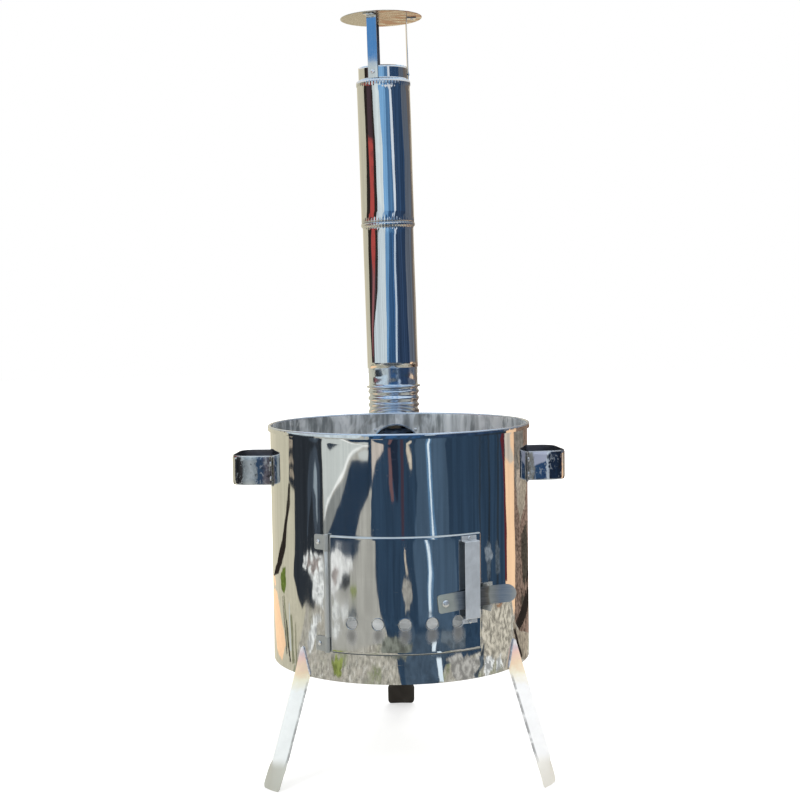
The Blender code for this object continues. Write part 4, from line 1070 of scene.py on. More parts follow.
def buildWeld(node, azimuth, line):
    # A lumpy bead down both edges of the pointed top, on the wall
    random.seed(len(node))
    beadLine = []
    tip, edge = line[0], line[6]
    for share in spread(-1.0, 1.0, weld["steps"]):
        along = edge[2] * share
        height = tip[1] + weld["above"] - (tip[1] - edge[1]) * abs(share)
        radius = math.sqrt(drumRadius ** 2 - along ** 2) + weld["proud"]
        beadLine.append(beside(azimuth, radius, along, height))
    rows = []
    out = outward(azimuth)
    for index, point in enumerate(beadLine):
        before, after = beadLine[max(0, index - 1)], beadLine[min(weld["steps"], index + 1)]
        across = (after - before).normalized().cross(out).normalized()
        wide = weld["half"] + weld["lumps"] * random.random()
        if index in (0, weld["steps"]):
            wide /= 2
        angles = [2 * math.pi * step / weld["columns"] for step in range(weld["columns"])]
        rows.append([point + across * math.cos(angle) * wide + out * math.sin(angle) * wide * weld["flat"]
                     for angle in angles])
    bm = bmesh.new()
    made = layGrid(bm, rows, joined=True)
    bm.faces.new(made[0])
    bm.faces.new(made[-1])
    bmesh.ops.recalc_face_normals(bm, faces=bm.faces)
    piece = newItem(camel(node) + "Weld", bm, weldPaint)
    piece.data.shade_smooth()
    rounder = piece.modifiers.new("rounder", "SUBSURF")
    rounder.levels = rounder.render_levels = 1
    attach(piece, bodyOf[node])


buildLegs()
print("legs made")


# Flue: a pleated elbow, its ring and dented neck, two pipes with crimped beads, a cap on straps
# The ring's points are (share of its height, how far it stands out from the neck), and those of a
# pipe's beads and foot (how far they stand out, height, share of the fluting)
flue = {"height": 0.515, "chimneyY": 0.2445, "bend": 0.085, "pleats": 12, "pitch": 0.0134,
        "depth": 0.0032, "sharpness": 0.8, "crushShare": 0.45, "fineShare": 0.25, "shrink": 0.0004,
        "collar": 0.0496, "collarStart": 0.006, "collarEnd": -0.001, "sheet": 0.0008, "columns": 96,
        "ringBase": 0.627282, "ringHeight": 0.006, "neck": 0.0486,
        "ring": [(0.1, 0.0), (0.22, 0.0006), (0.3, 0.0037), (0.36, 0.0046), (0.45, 0.0049), (0.7, 0.0049),
                 (0.8, 0.0045), (0.88, 0.0035), (0.95, 0.0006), (1.0, 0.0)],
        "neckVisible": 0.041, "neckHidden": 0.040, "lean": 1.1, "dent": 0.0009, "dentHeight": 0.0235,
        "dentReach": 0.018, "pipe": 0.050, "lower": 0.276, "beadHeight": 0.009, "male": 0.040,
        "bead": [(0.0, -0.003, 0.3), (0.0003, 0.0, 1.0), (0.0024, 0.0022, 1.0), (0.003, 0.0034, 0.6),
                 (0.003, 0.0078, 0.5), (0.0024, 0.0087, 0.3), (0.0, 0.009, 0.3)],
        "beadLead": 0.006, "maleStart": 0.002, "upper": 0.265, "fit": 0.0012, "topBeadHeight": 0.012,
        "footHeight": 0.011, "topLead": 0.003,
        "foot": [(0.0, 0.0, 0.9), (0.0, 0.004, 0.9), (0.0, 0.008, 0.5)],
        "topBead": [(0.0, 0.0, 0.3), (0.0012, 0.002, 1.0), (0.0012, 0.006, 1.0), (0.00084, 0.010, 0.8),
                    (-0.001, 0.0118, 0.3)],
        "spigot": 0.048, "spigotEdge": 0.0002, "spigotStart": 0.002, "spigotLength": 0.025, "flutes": 53,
        "tubes": {"lower_pipe": {"flute": 0.0011, "seamAt": 200, "seed": 5.0},
                  "upper_pipe": {"flute": 0.0013, "seamAt": 170, "seed": 9.0}},
        "unround": 0.00035, "seam": 0.0006, "seamWidth": 0.004}
chimney = (Matrix.Translation((0.0, flue["chimneyY"], flue["ringBase"]))
           @ Matrix.Rotation(-math.radians(flue["lean"]), 4, "Y"))
pipePaint = mirrorPaint("polishedPipe", flue["chimneyY"], flue["pipe"], pipeLook)
elbowPaint = mirrorPaint("polishedElbow", flue["chimneyY"], flue["pipe"], elbowLook)


def fluePoint(distance):                        # the elbow's middle line and its direction
    start = Vector((0.0, flue["chimneyY"] - flue["bend"], flue["height"]))
    length = flue["bend"] * math.pi / 2
    if distance <= 0:
        return start + Vector((0, distance, 0)), Vector((0, 1, 0))
    if distance < length:
        angle = distance / flue["bend"]
        spoke = Vector((0, math.sin(angle), 1 - math.cos(angle)))
        return start + spoke * flue["bend"], Vector((0, math.cos(angle), math.sin(angle)))
    return start + Vector((0, flue["bend"], flue["bend"] + distance - length)), Vector((0, 0, 1))


def ringRow(centre, way, radius, shape=None):
    turn = Vector((0, 0, 1)).rotation_difference(way).to_matrix()
    row = []
    for column in range(flue["columns"]):
        angle = 2 * math.pi * column / flue["columns"]
        wide = radius + (shape(angle) if shape else 0.0)
        row.append(centre + turn @ Vector((wide * math.sin(angle), -wide * math.cos(angle), 0.0)))
    return row


def buildElbow():
    start = axisY + drumRadius + flue["collarStart"] - (flue["chimneyY"] - flue["bend"])
    rows = [ringRow(*fluePoint(distance), flue["collar"])
            for distance in spread(start, flue["collarEnd"], 4)]
    for step in range(6 * flue["pleats"]):
        distance = (step + 0.5) * flue["pitch"] / 6
        wave = math.cos(2 * math.pi * (distance / flue["pitch"] - 0.5))
        wave = math.copysign(abs(wave) ** flue["sharpness"], wave)
        index = int(distance / flue["pitch"])

        def pleat(angle, index=index, wave=wave):
            crush = noise.noise(Vector((math.sin(angle) * 1.3, math.cos(angle) * 1.3, index * 1.7)))
            fine = noise.noise(Vector((math.sin(angle) * 5.0, math.cos(angle) * 5.0, index * 2.3)))
            change = 1 + flue["crushShare"] * crush + flue["fineShare"] * fine
            return wave * flue["depth"] / 2 * change - flue["shrink"] * (1 + crush)

        rows.append(ringRow(*fluePoint(distance), flue["collar"], pleat))
    base = Vector((0.0, flue["chimneyY"], flue["ringBase"]))
    lean = math.radians(flue["lean"])
    way = Vector((-math.sin(lean), 0.0, math.cos(lean)))
    neck, tall = flue["neck"], flue["ringHeight"]
    for share, proud in flue["ring"]:
        rows.append(ringRow(base + way * tall * share, way, neck + proud))
    for height in spread(tall, flue["neckVisible"] + flue["neckHidden"], 22)[1:]:
        shown = ease(1 - abs(height - flue["dentHeight"]) / flue["dentReach"])

        def dented(angle, height=height, shown=shown):
            soft = noise.noise(Vector((math.sin(angle) * 2.1, math.cos(angle) * 2.1, height * 60)))
            return -flue["dent"] * shown * max(0.0, soft + 0.1) * 2

        rows.append(ringRow(base + way * height, way, neck, dented))
    bm = bmesh.new()
    layGrid(bm, rows, joined=True)
    addPiece("flueElbow", bm, elbowPaint, ["flue_elbow"], sheet=flue["sheet"], offset=-1.0)


def flutedTube(node, outline):
    # outline runs upwards as (radius, height, flute share); the wall is inside it
    look = flue["tubes"][node]
    seamAt = math.radians(look["seamAt"])
    columns = 4 * flue["flutes"]
    rows = []
    for radius, height, share in outline:
        row = []
        for column in range(columns):
            angle = 2 * math.pi * column / columns
            wide = radius - share * look["flute"] * (0.5 - 0.5 * math.cos(flue["flutes"] * angle))
            if share == 0.0:
                wide += flue["unround"] * noise.noise(Vector((math.sin(angle) * 1.8 + look["seed"],
                                                              math.cos(angle) * 1.8, height * 9)))
                off = abs((angle - seamAt + math.pi) % (2 * math.pi) - math.pi) * radius
                wide += flue["seam"] * ease(1 - off / flue["seamWidth"])
            row.append(chimney @ Vector((wide * math.sin(angle), -wide * math.cos(angle), height)))
        rows.append(row)
    bm = bmesh.new()
    layGrid(bm, rows, joined=True)
    addPiece(camel(node), bm, pipePaint, [node], sheet=flue["sheet"], offset=-1.0)


def plainRun(radius, low, high, steps, share=0.0):
    return [(radius, height, share) for height in spread(low, high, steps)]


def shapedRun(radius, low, points):
    return [(radius + proud, low + height, share) for proud, height, share in points]


def buildPipes():
    bottom = flue["neckVisible"]
    bead = bottom + flue["lower"]
    shoulder = bead + flue["beadHeight"]
    pipe = flue["pipe"]
    outline = plainRun(pipe, bottom, bead - flue["beadLead"], 24)
    outline += shapedRun(pipe, bead, flue["bead"])
    outline += plainRun(pipe, shoulder + flue["maleStart"], shoulder + flue["male"], 5, 0.15)
    flutedTube("lower_pipe", outline)
    wide = pipe + flue["fit"] + flue["sheet"]
    foot = shoulder + gap
    high = foot + flue["upper"]
    top = high + flue["topBeadHeight"]
    outline = shapedRun(wide, foot, flue["foot"])
    outline += plainRun(wide, foot + flue["footHeight"], high - flue["topLead"], 24)
    outline += shapedRun(wide, high, flue["topBead"])
    outline.append((flue["spigot"], top + flue["spigotEdge"], 0.0))
    outline += plainRun(flue["spigot"], top + flue["spigotStart"], top + flue["spigotLength"], 6)
    flutedTube("upper_pipe", outline)


# Rain cap: a flat disc on three bent straps
cap = {"radius": 0.080, "sheet": 0.0012, "rise": 0.096, "strapHalf": 0.01025, "strapSheet": 0.0015,
       "tab": 0.019, "tabShare": 0.6, "corner": 0.003, "middle": 0.012, "inner": 0.02,
       "rounding": 0.076, "wave": 0.0001, "waveTurn": 300, "lowTail": 0.003, "topTail": 0.0033,
       "azimuths": {"front": -24.0, "right": 93.0, "back": 196.0}}


def buildCap():
    end = (flue["neckVisible"] + flue["lower"] + flue["beadHeight"] + gap + flue["upper"]
           + flue["topBeadHeight"] + flue["spigotLength"])
    under = end + cap["rise"]
    top = under + cap["sheet"]
    bm = bmesh.new()
    profile = [(cap["middle"], under)]
    profile += [(radius, under + cap["wave"] * math.sin(radius * cap["waveTurn"]))
                for radius in spread(cap["inner"], cap["rounding"], 8)]
    edge = cap["sheet"] / 2
    profile += [(cap["radius"] - edge + edge * math.cos(angle), under + edge + edge * math.sin(angle))
                for angle in spread(-math.pi / 2, math.pi / 2, 6)]
    profile += [(radius, top) for radius in spread(cap["rounding"], cap["middle"], 8)]
    rings = turnProfile(bm, profile, 96, chimney)
    closeEnd(bm, rings[0], chimney @ Vector((0, 0, under)))
    closeEnd(bm, rings[-1], chimney @ Vector((0, 0, top)))
    disc = addPiece("capDisc", bm, capPaint, ["cap_disc"])
    finishWhere(disc, capTopPaint, lambda centre, normal: normal.z > 0.3)
    post = flue["spigot"] + gap + cap["strapSheet"] / 2
    foot = end - flue["spigotLength"] + gap
    tab = under - gap - cap["strapSheet"] / 2
    line = rounded([(post, foot), (post, tab), (post + cap["tab"], tab)], [cap["corner"]], 10)
    for side, degrees in cap["azimuths"].items():
        azimuth = math.radians(degrees)
        out, across = outward(azimuth), sideways(azimuth)
        path = [chimney @ (out * radius + Vector((0, 0, height))) for radius, height in line]
        turned = (chimney.to_3x3() @ across).normalized()
        strap = addStrip("capStrap" + side.capitalize(), path, turned, [cap["strapHalf"]] * len(path),
                         cap["strapSheet"], strapPaint, ["cap_strap_" + side])
        settle(strap, ())
        # painted shade on the front strap's side edges and on the back strap's inner side
        if side == "front":
            finishWhere(strap, strapEdgeShadePaint, lambda centre, normal: abs(normal.dot(turned)) > 0.7)
        else:
            finishInside(strap, strapEdgeShadePaint if side == "back" else strapPaint, chimney @ Vector((0, 0, foot)))
        stand = Matrix((across, Vector((0, 0, 1)), out)).transposed().to_4x4()
        low = out * (post + cap["strapSheet"] / 2 + gap) + Vector((0, 0, end - flue["spigotLength"] / 2))
        addDome("capRivetLow" + side.capitalize(), "cap_rivet_low_" + side,
                chimney @ Matrix.Translation(low) @ stand, rivet["head"], rivet["rise"], cap["lowTail"])
        high = out * (post + cap["tab"] * cap["tabShare"]) + Vector((0, 0, top + gap))
        addDome("capRivetTop" + side.capitalize(), "cap_rivet_top_" + side,
                chimney @ Matrix.Translation(high), rivet["head"], rivet["rise"], cap["topTail"])


buildElbow()
buildPipes()
buildCap()
print("flue and cap made")


# CAD nodes that keep their own shape: their edges are rounded and they get a finish
kept = {"floor_pan": insidePaint, "fire_grate": gratePaint, "grate_bracket_left": insidePaint,
        "grate_bracket_right": insidePaint, "grate_bracket_back": insidePaint,
        "latch_keeper": keeperPaint, "flue_stub": pipePaint}
keptEdges = {"merge": 0.00001, "bevel": 0.0003}
for node, paint in kept.items():
    item = frame["nodes"][node]
    item.data.materials.clear()
    item.data.materials.append(paint.material)
    joiner = item.modifiers.new("joiner", "WELD")
    joiner.merge_threshold = keptEdges["merge"]
    soften(item, keptEdges["bevel"])
print("kept nodes finished:", len(kept))


# Stage: a pale floor, and cards that only the polished steel sees
stage = {"cardRadius": 1.6, "cardStep": 0.002, "mat": 0.0016, "matStep": 0.0003, "floor": 14.0,
         "wallDepth": 0.25, "stripeDepth": 0.5, "markDepth": 1.7,
         "groundRadius": 1.62, "groundHeight": 0.0012, "skyRadius": 3.6, "skyHeight": 3.4,
         "ambient": 0.62, "lampAim": (0.0, 0.0, 0.5),
         "lamps": [("keyLamp", (-1.9, -2.3, 2.6), 1.8, 42.0), ("fillLamp", (2.3, -1.7, 2.0), 1.8, 26.0),
                   ("backLamp", (0.4, 2.4, 2.6), 1.6, 26.0)]}
# Each tone as the steel shows it: colour, how much it varies, how uneven its edge is, how crumpled
tones = {"sand": ("#bbb7a3", 0.10, 1, 0), "peach": ("#f0caa4", 0.06, 1, 0),
         "soot": ("#2a2522", 0.2, 1, 0), "leaf": ("#5f7034", 0.3, 2, 1), "moss": ("#82836a", 0.2, 1, 0),
         "slate": ("#292e34", 0.22, 1, 0), "dimSand": ("#948b7c", 0.3, 2, 1),
         "blueGrey": ("#3d4650", 0.2, 1, 0), "silver": ("#828e96", 0.2, 0.5, 0),
         "paleWall": ("#bfc5c2", 0.08, 1, 0), "dusk": ("#333c46", 0.15, 1, 0),
         "deepNavy": ("#26374a", 0.2, 1, 0), "glare": ("#eef1ee", 0.05, 1, 0),
         "column": ("#a5a59e", 0.18, 1, 0), "paleSand": ("#c2b9ab", 0.14, 1, 0),
         "navy": ("#2c3f53", 0.24, 1, 0), "rightSlate": ("#28323c", 0.3, 1, 0),
         "stone": ("#4c565f", 0.45, 4, 1), "pebble": ("#77818a", 0.3, 3, 1),
         "midnight": ("#202a3a", 0.2, 1, 0), "mauve": ("#6e5456", 0.15, 0.6, 0),
         "umberSoft": ("#40343f", 0.12, 0.6, 0), "flame": ("#c6bcab", 0.25, 1.5, 1),
         "haze": ("#587a99", 0.12, 0.4, 0), "streak": ("#dcebf4", 0.04, 0.4, 0),
         "ash": ("#8f8e88", 0.35, 3, 1), "umber": ("#55262b", 0.12, 1, 0),
         "brown": ("#77655a", 0.55, 1, 1), "paleAsh": ("#b2ad9f", 0.5, 4, 1),
         "lowGrey": ("#a09f9a", 0.4, 4, 1), "cloth": ("#cfd2d0", 0.5, 7, 1),
         "clothShade": ("#8f8783", 0.5, 7, 1),
         "brightCloth": ("#dfe1df", 0.3, 4, 1), "grass": ("#7f8a4c", 0.4, 4, 1),
         "red": ("#a84a45", 0.05, 0, 0), "dusky": ("#5c6770", 0.3, 1, 1),
         "smudge": ("#4d6985", 0.45, 4, 1), "rust": ("#96755c", 0.3, 3, 1),
         "pipeShade": ("#43353a", 0.2, 0, 0), "mint": ("#c9d4d6", 0.2, 0, 0),
         "sky": ("#75a3cc", 0.2, 0, 0), "blue": ("#4a7096", 0.25, 0, 0), "paleLine": ("#cdd6e0", 0.1, 0, 0),
         "pipeRose": ("#8d5a5c", 0.1, 0, 0), "lowMint": ("#bfccd2", 0.25, 0, 0),
         "lowSky": ("#6590b8", 0.25, 0, 0), "lowBlue": ("#33557c", 0.35, 0, 0),
         "lowPale": ("#b3c2d1", 0.15, 0, 0), "lowNavy": ("#2c3e58", 0.45, 0, 0),
         "pipeNavy": ("#2d4360", 0.4, 0, 0), "greySlate": ("#5c6470", 0.3, 0, 0),
         "greyBrown": ("#655f5c", 0.3, 0, 0), "capSand": ("#b9ad95", 0.15, 1, 0),
         "strapBlue": ("#4d81b8", 0.04, 1, 0), "glowNavy": ("#43576b", 0.2, 1, 0),
         "lowHaze": ("#425262", 0.3, 1, 0), "tuft": ("#70746c", 0.4, 4, 1),
         "wedgeGrey": ("#868a88", 0.25, 1, 0), "sliverGrey": ("#b9b1a8", 0.15, 1, 0),
         "postGrey": ("#77736c", 0.5, 3, 1), "postPale": ("#a59a8c", 0.4, 3, 1),
         "postDark": ("#443f38", 0.4, 3, 1)}

# Upright walls all round, as (azimuth from, to, height from, to); later cards stand in front
walls = [("wallBackLeft", "sand", (-182, -105, 0, 0.58)), ("wallLeft", "slate", (-105, -74, 0, 0.58)),
         ("wallPale", "column", (-74, -25, 0, 0.58)), ("wallNavy", "navy", (-25, 62, 0, 0.58)),
         ("wallSlate", "rightSlate", (62, 98, 0, 0.58)), ("wallPeach", "peach", (98, 114, 0, 0.58)),
         ("wallBrown", "brown", (114, 178, 0, 0.58)), ("wallBehind", "capSand", (146, 214, 0.58, 1.62)),
         ("wallStrap", "strapBlue", (-72, -26, 1.53, 2.1))]

# Shapes in the drum, as (azimuth in degrees, height in mm) on its wall
drumShapes = [
    ("leftSand", "sand", [(-83, 573), (-51.5, 582), (-53.5, 351), (-46, 289), (-51, 232), (-57, 170),
        (-83, 174), (-85.5, 330)]),
    ("leftPeach", "peach", [(-85, 322), (-77, 329), (-70, 285), (-64, 238), (-62.5, 220), (-67.5, 187),
        (-75, 200)]),
    ("leftSoot", "soot", [(-57, 498), (-55.5, 496), (-56, 464), (-59, 427), (-60.5, 389), (-65.5, 356),
        (-70, 336), (-80, 326), (-71.5, 355), (-64.5, 399), (-59.5, 451)]),
    ("leftLeaf", "leaf", [(-65, 347), (-61.5, 353), (-61, 329), (-62.5, 306), (-65.5, 310), (-67.5, 333)]),
    ("leftStalk", "moss", [(-64.5, 302), (-63, 303), (-60.5, 255), (-59.5, 217), (-60.5, 216)]),
    ("leftReed", "moss", [(-57.5, 273), (-56, 274), (-55, 192), (-56.5, 191)]),
    ("slateMass", "slate", [(-56, 581), (-35.5, 585), (-35.5, 389), (-43, 347), (-43, 326), (-40.5, 300),
        (-41.5, 294), (-45.5, 303), (-49, 290), (-52, 313), (-54.5, 341), (-54, 366), (-48.5, 455),
        (-48.5, 466), (-53, 489), (-56.5, 500)]),
    ("slateChipLow", "dimSand", [(-56, 520), (-53, 521), (-52.5, 509), (-55.5, 508)]),
    ("slateChipMiddle", "dimSand", [(-56, 542), (-53, 543), (-53, 531), (-56, 530)]),
    ("slateChipHigh", "dimSand", [(-56, 567), (-53, 568), (-53, 556), (-56, 555)]),
    ("slateSheen", "blueGrey", [(-43.5, 498), (-42, 549), (-39.5, 564), (-38, 556), (-37, 526), (-37, 418),
        (-39.5, 417), (-41, 493), (-42.5, 457), (-43.5, 416), (-44, 415)]),
    ("slateFlame", "silver", [(-40, 520), (-39.5, 538), (-38.5, 520), (-38, 441), (-38.5, 441), (-39, 482),
        (-40, 496)]),
    ("palePatch", "paleWall", [(-35.5, 585), (-13.5, 587), (-14.5, 567), (-18.5, 558), (-22, 541),
        (-30, 493), (-34, 460), (-35, 436)]),
    ("duskPatch", "dusk", [(-33, 580), (-20.5, 581), (-27, 567), (-31.5, 557), (-32.5, 562)]),
    ("navyWedge", "deepNavy", [(-21.5, 538), (-19, 541), (-15, 538), (-14, 587), (-12, 587), (-13, 509),
        (-14.5, 486), (-18, 463), (-20.5, 422), (-17, 412), (-24, 363), (-23.5, 345), (-27.5, 333),
        (-32, 375), (-35.5, 418), (-35, 430), (-26.5, 485), (-24, 517)]),
    ("wedgeShade", "wedgeGrey", [(-20.5, 546), (-25.5, 507), (-31.5, 478), (-35.5, 438), (-35.5, 404),
        (-33, 422), (-27, 470), (-24, 505), (-21.5, 538)]),
    ("glareEdge", "glare", [(-14.5, 569), (-14, 566), (-17.5, 561), (-21, 549), (-26, 510), (-32, 480),
        (-35.5, 440), (-35, 448), (-33, 478), (-25.5, 523), (-22.5, 547), (-19, 561)]),
    ("paleTip", "paleWall", [(-18.5, 551), (-16, 559), (-14, 555), (-14.5, 539), (-18, 541)]),
    ("paleColumn", "column", [(-13, 502), (-13.5, 423), (-12, 413), (-12, 356), (-11, 331), (-9.5, 333),
        (-9.5, 298), (-8, 279), (-7.5, 248), (-18, 234), (-33, 229), (-32.5, 301), (-27.5, 333),
        (-23.5, 345), (-24, 363), (-17, 412), (-20.5, 422), (-18, 463), (-14.5, 486)]),
    ("paleSliver", "sliverGrey", [(-12.5, 587), (-7.5, 587), (-7.5, 557), (-10.5, 541), (-12, 521),
        (-13, 501)]),
    ("centreNavy", "navy", [(-7, 586), (-7, 557), (-10.5, 541), (-12.5, 518), (-13, 498), (-13.5, 423),
        (-12, 413), (-12, 356), (-11, 332), (-9.5, 333), (-9.5, 297), (-8, 280), (-7, 248), (-3.5, 242),
        (-3, 206), (-1.5, 166), (12.5, 167), (17, 208), (33.5, 223), (34.5, 296), (49, 297), (50, 575)]),
    ("rightSlate", "rightSlate", [(34, 581), (49.5, 577), (50, 331), (35, 322), (33, 532)]),
    ("slateMottle", "stone", [(35.5, 402), (42.5, 402), (47.5, 378), (46.5, 348), (38, 342), (36, 366)]),
    ("slateFleck", "pebble", [(36.5, 392), (40.5, 393), (41.5, 375), (37.5, 370)]),
    ("darkBand", "midnight", [(-6.5, 581), (-5, 581), (-3, 475), (-2, 475), (-2, 581)]),
    ("mauveLine", "mauve", [(-6, 560), (-5, 560), (-3.5, 475), (-4.5, 475), (-5.5, 504)]),
    ("umberLine", "umberSoft", [(-1, 581), (0.5, 581), (0, 421), (-1, 421)]),
    ("highFlame", "flame", [(1.5, 568), (2.5, 563), (3.5, 549), (4, 525), (3, 525), (1.5, 555)]),
    ("streakGlow", "glowNavy", [(4.5, 582), (17.5, 582), (19, 500), (19.5, 414), (4, 414), (5.5, 500)]),
    ("doorGlow", "glowNavy", [(3.5, 412), (21, 412), (22, 330), (19, 262), (5.5, 275)]),
    ("highStreak", "haze", [(9, 577), (11.5, 577), (13, 461), (14, 419), (11, 420)]),
    ("highStreakCore", "streak", [(10, 577), (11, 577), (12, 461), (13, 419), (12, 420)]),
    ("doorStreak", "haze", [(8, 414), (10, 413), (11.5, 392), (12, 363), (11.5, 334), (11.5, 286),
        (10, 286), (9.5, 334), (10, 363), (9.5, 392)]),
    ("doorStreakCore", "streak", [(8.5, 413), (9.5, 413), (11, 392), (11.5, 363), (11, 334), (11, 287),
        (10, 287), (10, 334), (10.5, 363), (10, 392)]),
    ("lowGlow", "lowHaze", [(1, 300), (4, 262), (19, 262), (17.5, 222), (12, 168), (0, 168), (-1, 240)]),
    ("doorTuft", "tuft", [(-9, 254), (-4, 262), (1, 258), (2.5, 238), (0, 224), (-4, 220), (-10, 230)]),
    ("lowStreak", "streak", [(11, 246), (13, 246), (12.5, 228), (11, 228)]),
    ("lowestStreak", "streak", [(13, 220), (15, 219), (16, 180), (14, 181)]),
    ("doorFlame", "flame", [(0, 397), (0.5, 397), (1.5, 354), (0.5, 353)]),
    ("doorAsh", "ash", [(-1, 346), (1, 350), (3, 338), (3, 321), (2, 309), (0, 303), (-1, 318)]),
    ("redLine", "umber", [(45.5, 581), (49, 580), (50.5, 406), (50.5, 331), (49, 332), (48.5, 467),
        (48, 527)]),
    ("brownSide", "brown", [(58, 577), (83, 568), (80.5, 214), (62, 234), (56.5, 257), (57.5, 341),
        (57.5, 463)]),
    ("peachTop", "paleSand", [(49.5, 580), (54, 578), (54, 554), (58, 530), (53.5, 524), (50, 537)]),
    ("rightPeach", "peach", [(49.5, 529), (53.5, 519), (57, 514), (57, 278), (56, 266), (54.5, 289),
        (51, 406)]),
    ("postTop", "postGrey", [(58.5, 575), (69, 572), (70, 520), (66, 470), (59, 478), (58, 520)]),
    ("postMiddle", "postPale", [(59.5, 512), (67, 508), (72, 470), (70, 438), (61, 446)]),
    ("postLow", "postDark", [(65, 400), (74, 420), (79, 330), (74, 262), (64, 250), (66, 330)]),
    ("brownPale", "dimSand", [(62, 536), (73, 516), (75, 478), (63.5, 417), (61.5, 455), (65, 489)]),
    ("sootCurve", "soot", [(74.5, 329), (81.5, 324), (79.5, 269), (62, 237), (57.5, 252), (63, 267),
        (70, 295)]),
    ("rightAsh", "paleAsh", [(34.5, 301), (52, 296), (54.5, 258), (52.5, 223), (46.5, 192), (34, 206)]),
    ("rightEdgeSand", "dimSand", [(55, 258), (62, 234), (77.5, 217), (74, 176), (63, 184), (55.5, 224)]),
    ("rightEdgeLine", "soot", [(55.5, 244), (57.5, 245), (65, 188), (63, 186)]),
    ("lowGrey", "lowGrey", [(18, 223), (34, 216), (32.5, 183), (30, 178), (20.5, 181)]),
    ("lowDark", "stone", [(29.5, 184), (32.5, 195), (33.5, 219), (35, 236), (36, 211), (34.5, 194),
        (32.5, 180)]),
    ("lowWhite", "cloth", [(36, 187), (37.5, 207), (41, 207), (41, 184), (37.5, 179)]),
    ("lowWhiteSmall", "cloth", [(42.5, 203), (45.5, 208), (46.5, 186), (44, 181)]),
    ("bridgeSmudge", "smudge", [(26, 402), (28.5, 400), (28, 376), (29, 350), (27.5, 328), (26.5, 344),
        (27, 372)]),
    ("rustSpot", "rust", [(43.5, 296), (46, 297), (46.5, 291), (44, 290)]),
    ("leftBladeHigh", "soot", [(-65.5, 300), (-65, 300), (-60.5, 205), (-61.5, 203)]),
    ("leftBladeLow", "soot", [(-61.5, 262), (-60.5, 262), (-57.5, 194), (-58.5, 192)]),
    ("leftBladePale", "paleWall", [(-59, 292), (-58, 293), (-57, 214), (-58, 212)]),
    ("leftBladeInner", "moss", [(-54.5, 262), (-54, 262), (-52.5, 190), (-54, 188)]),
    ("columnGreen", "grass", [(-22.5, 334), (-20.5, 338), (-20, 322), (-22, 318)]),
    ("columnDark", "stone", [(-24.5, 300), (-20.5, 304), (-19.5, 288), (-24, 284)]),
    ("doorAshLow", "dusky", [(15.5, 263), (25.5, 262), (25.5, 230), (18.5, 231), (15, 246)]),
    ("greenTuft", "grass", [(-32, 213), (-29.5, 220), (-26.5, 216), (-27, 194), (-29, 186), (-31.5, 189)]),
    ("clothLeft", "cloth", [(-47.5, 369), (-45.5, 379), (-42, 390), (-37.5, 388), (-36, 380), (-36.5, 358),
        (-41, 352), (-43.5, 361), (-47, 360)]),
    ("clothShade", "clothShade", [(-44, 374), (-40, 379), (-37, 374), (-38, 361), (-41, 360),
        (-43.5, 366)]),
    ("clothLower", "cloth", [(-42.5, 349), (-36, 357), (-35.5, 303), (-39, 303), (-42.5, 320), (-41, 336)]),
    ("clothRight", "brightCloth", [(-32.5, 370), (-31, 386), (-28, 394), (-24.5, 388), (-22, 386),
        (-21, 375), (-23.5, 362), (-27, 352), (-28, 336), (-30, 325), (-32, 331)]),
    ("clothFold", "clothShade", [(-30.5, 352), (-29.5, 362), (-28.5, 364), (-28.5, 350), (-30, 340)]),
    ("clothGap", "slate", [(-27, 352), (-25, 360), (-22.5, 356), (-23, 340), (-25.5, 330), (-27.5, 337)]),
    ("clothScrap", "cloth", [(-29, 308), (-26.5, 315), (-24.5, 301), (-25.5, 285), (-28, 291), (-31, 287),
        (-32, 295)]),
    ("clothCrumb", "cloth", [(-32.5, 262), (-28.5, 277), (-27, 270), (-30, 257), (-32.5, 254)]),
    ("clothTrail", "cloth", [(-39.5, 290), (-37.5, 282), (-38.5, 260), (-43, 226), (-46, 232), (-43.5, 257),
        (-41, 274)]),
]
# Stripes in the pipes from left to right: the tone, and the azimuth where it ends at each level
pipeLevels = [1300, 1091, 977, 879, 801, 723, 610]
pipeLeft = -88
pipeStripes = [("sand", [-49, -47, -51, -55, -56, -57, -55]),
               ("soot", [-38, -41, -41, -46, -48, -52, -53]),
               ("pipeShade", [-30, -28, -30, -33, -36, -46, -51]),
               ("soot", [-29, -23, -23, -27, -32, -43, -49]),
               ("mint", [-18, -7, -8, -10, -10, -13, -15]),
               ("sky", [1, 1, 1, -1, -4, -8, -11]),
               ("blue", [9, 12, 13, 10, 10, 8, 6]),
               ("paleLine", [14, 18, 17, 14, 14, 12, 10]),
               ("pipeNavy", [37, 42, 41, 37, 38, 41, 40]),
               ("greySlate", [51, 63, 62, 60, 58, 60, 59]),
               ("greyBrown", [85, 85, 85, 85, 85, 85, 85])]
lowTones = {"mint": "lowMint", "sky": "lowSky", "blue": "lowBlue", "paleLine": "lowPale",
            "pipeNavy": "lowNavy"}
lowStep = 2                                     # the tones change at the joint of the pipes
pipeRed = [(-41, 1096), (-28, 1096), (-30, 995), (-33, 879), (-38, 830), (-43, 830), (-45, 879), (-40, 995)]
pipeRose = [(-43, 850), (-36, 850), (-46, 723), (-50, 672), (-52, 672), (-51, 723)]
mirrors = {"drum": {"radius": drumRadius, "y": axisY, "lean": 0.0, "base": 0.0},
           "pipe": {"radius": flue["pipe"], "y": flue["chimneyY"], "lean": -0.0192, "base": 0.627}}


def glowPaint(name):                            # nothing but its own light
    paint = Paint(name)
    paint.set(BaseColor=(0.0, 0.0, 0.0), Roughness=1.0, EmissionStrength=1.0)
    paint.shader.inputs["Specular IOR Level"].default_value = 0.0
    return paint


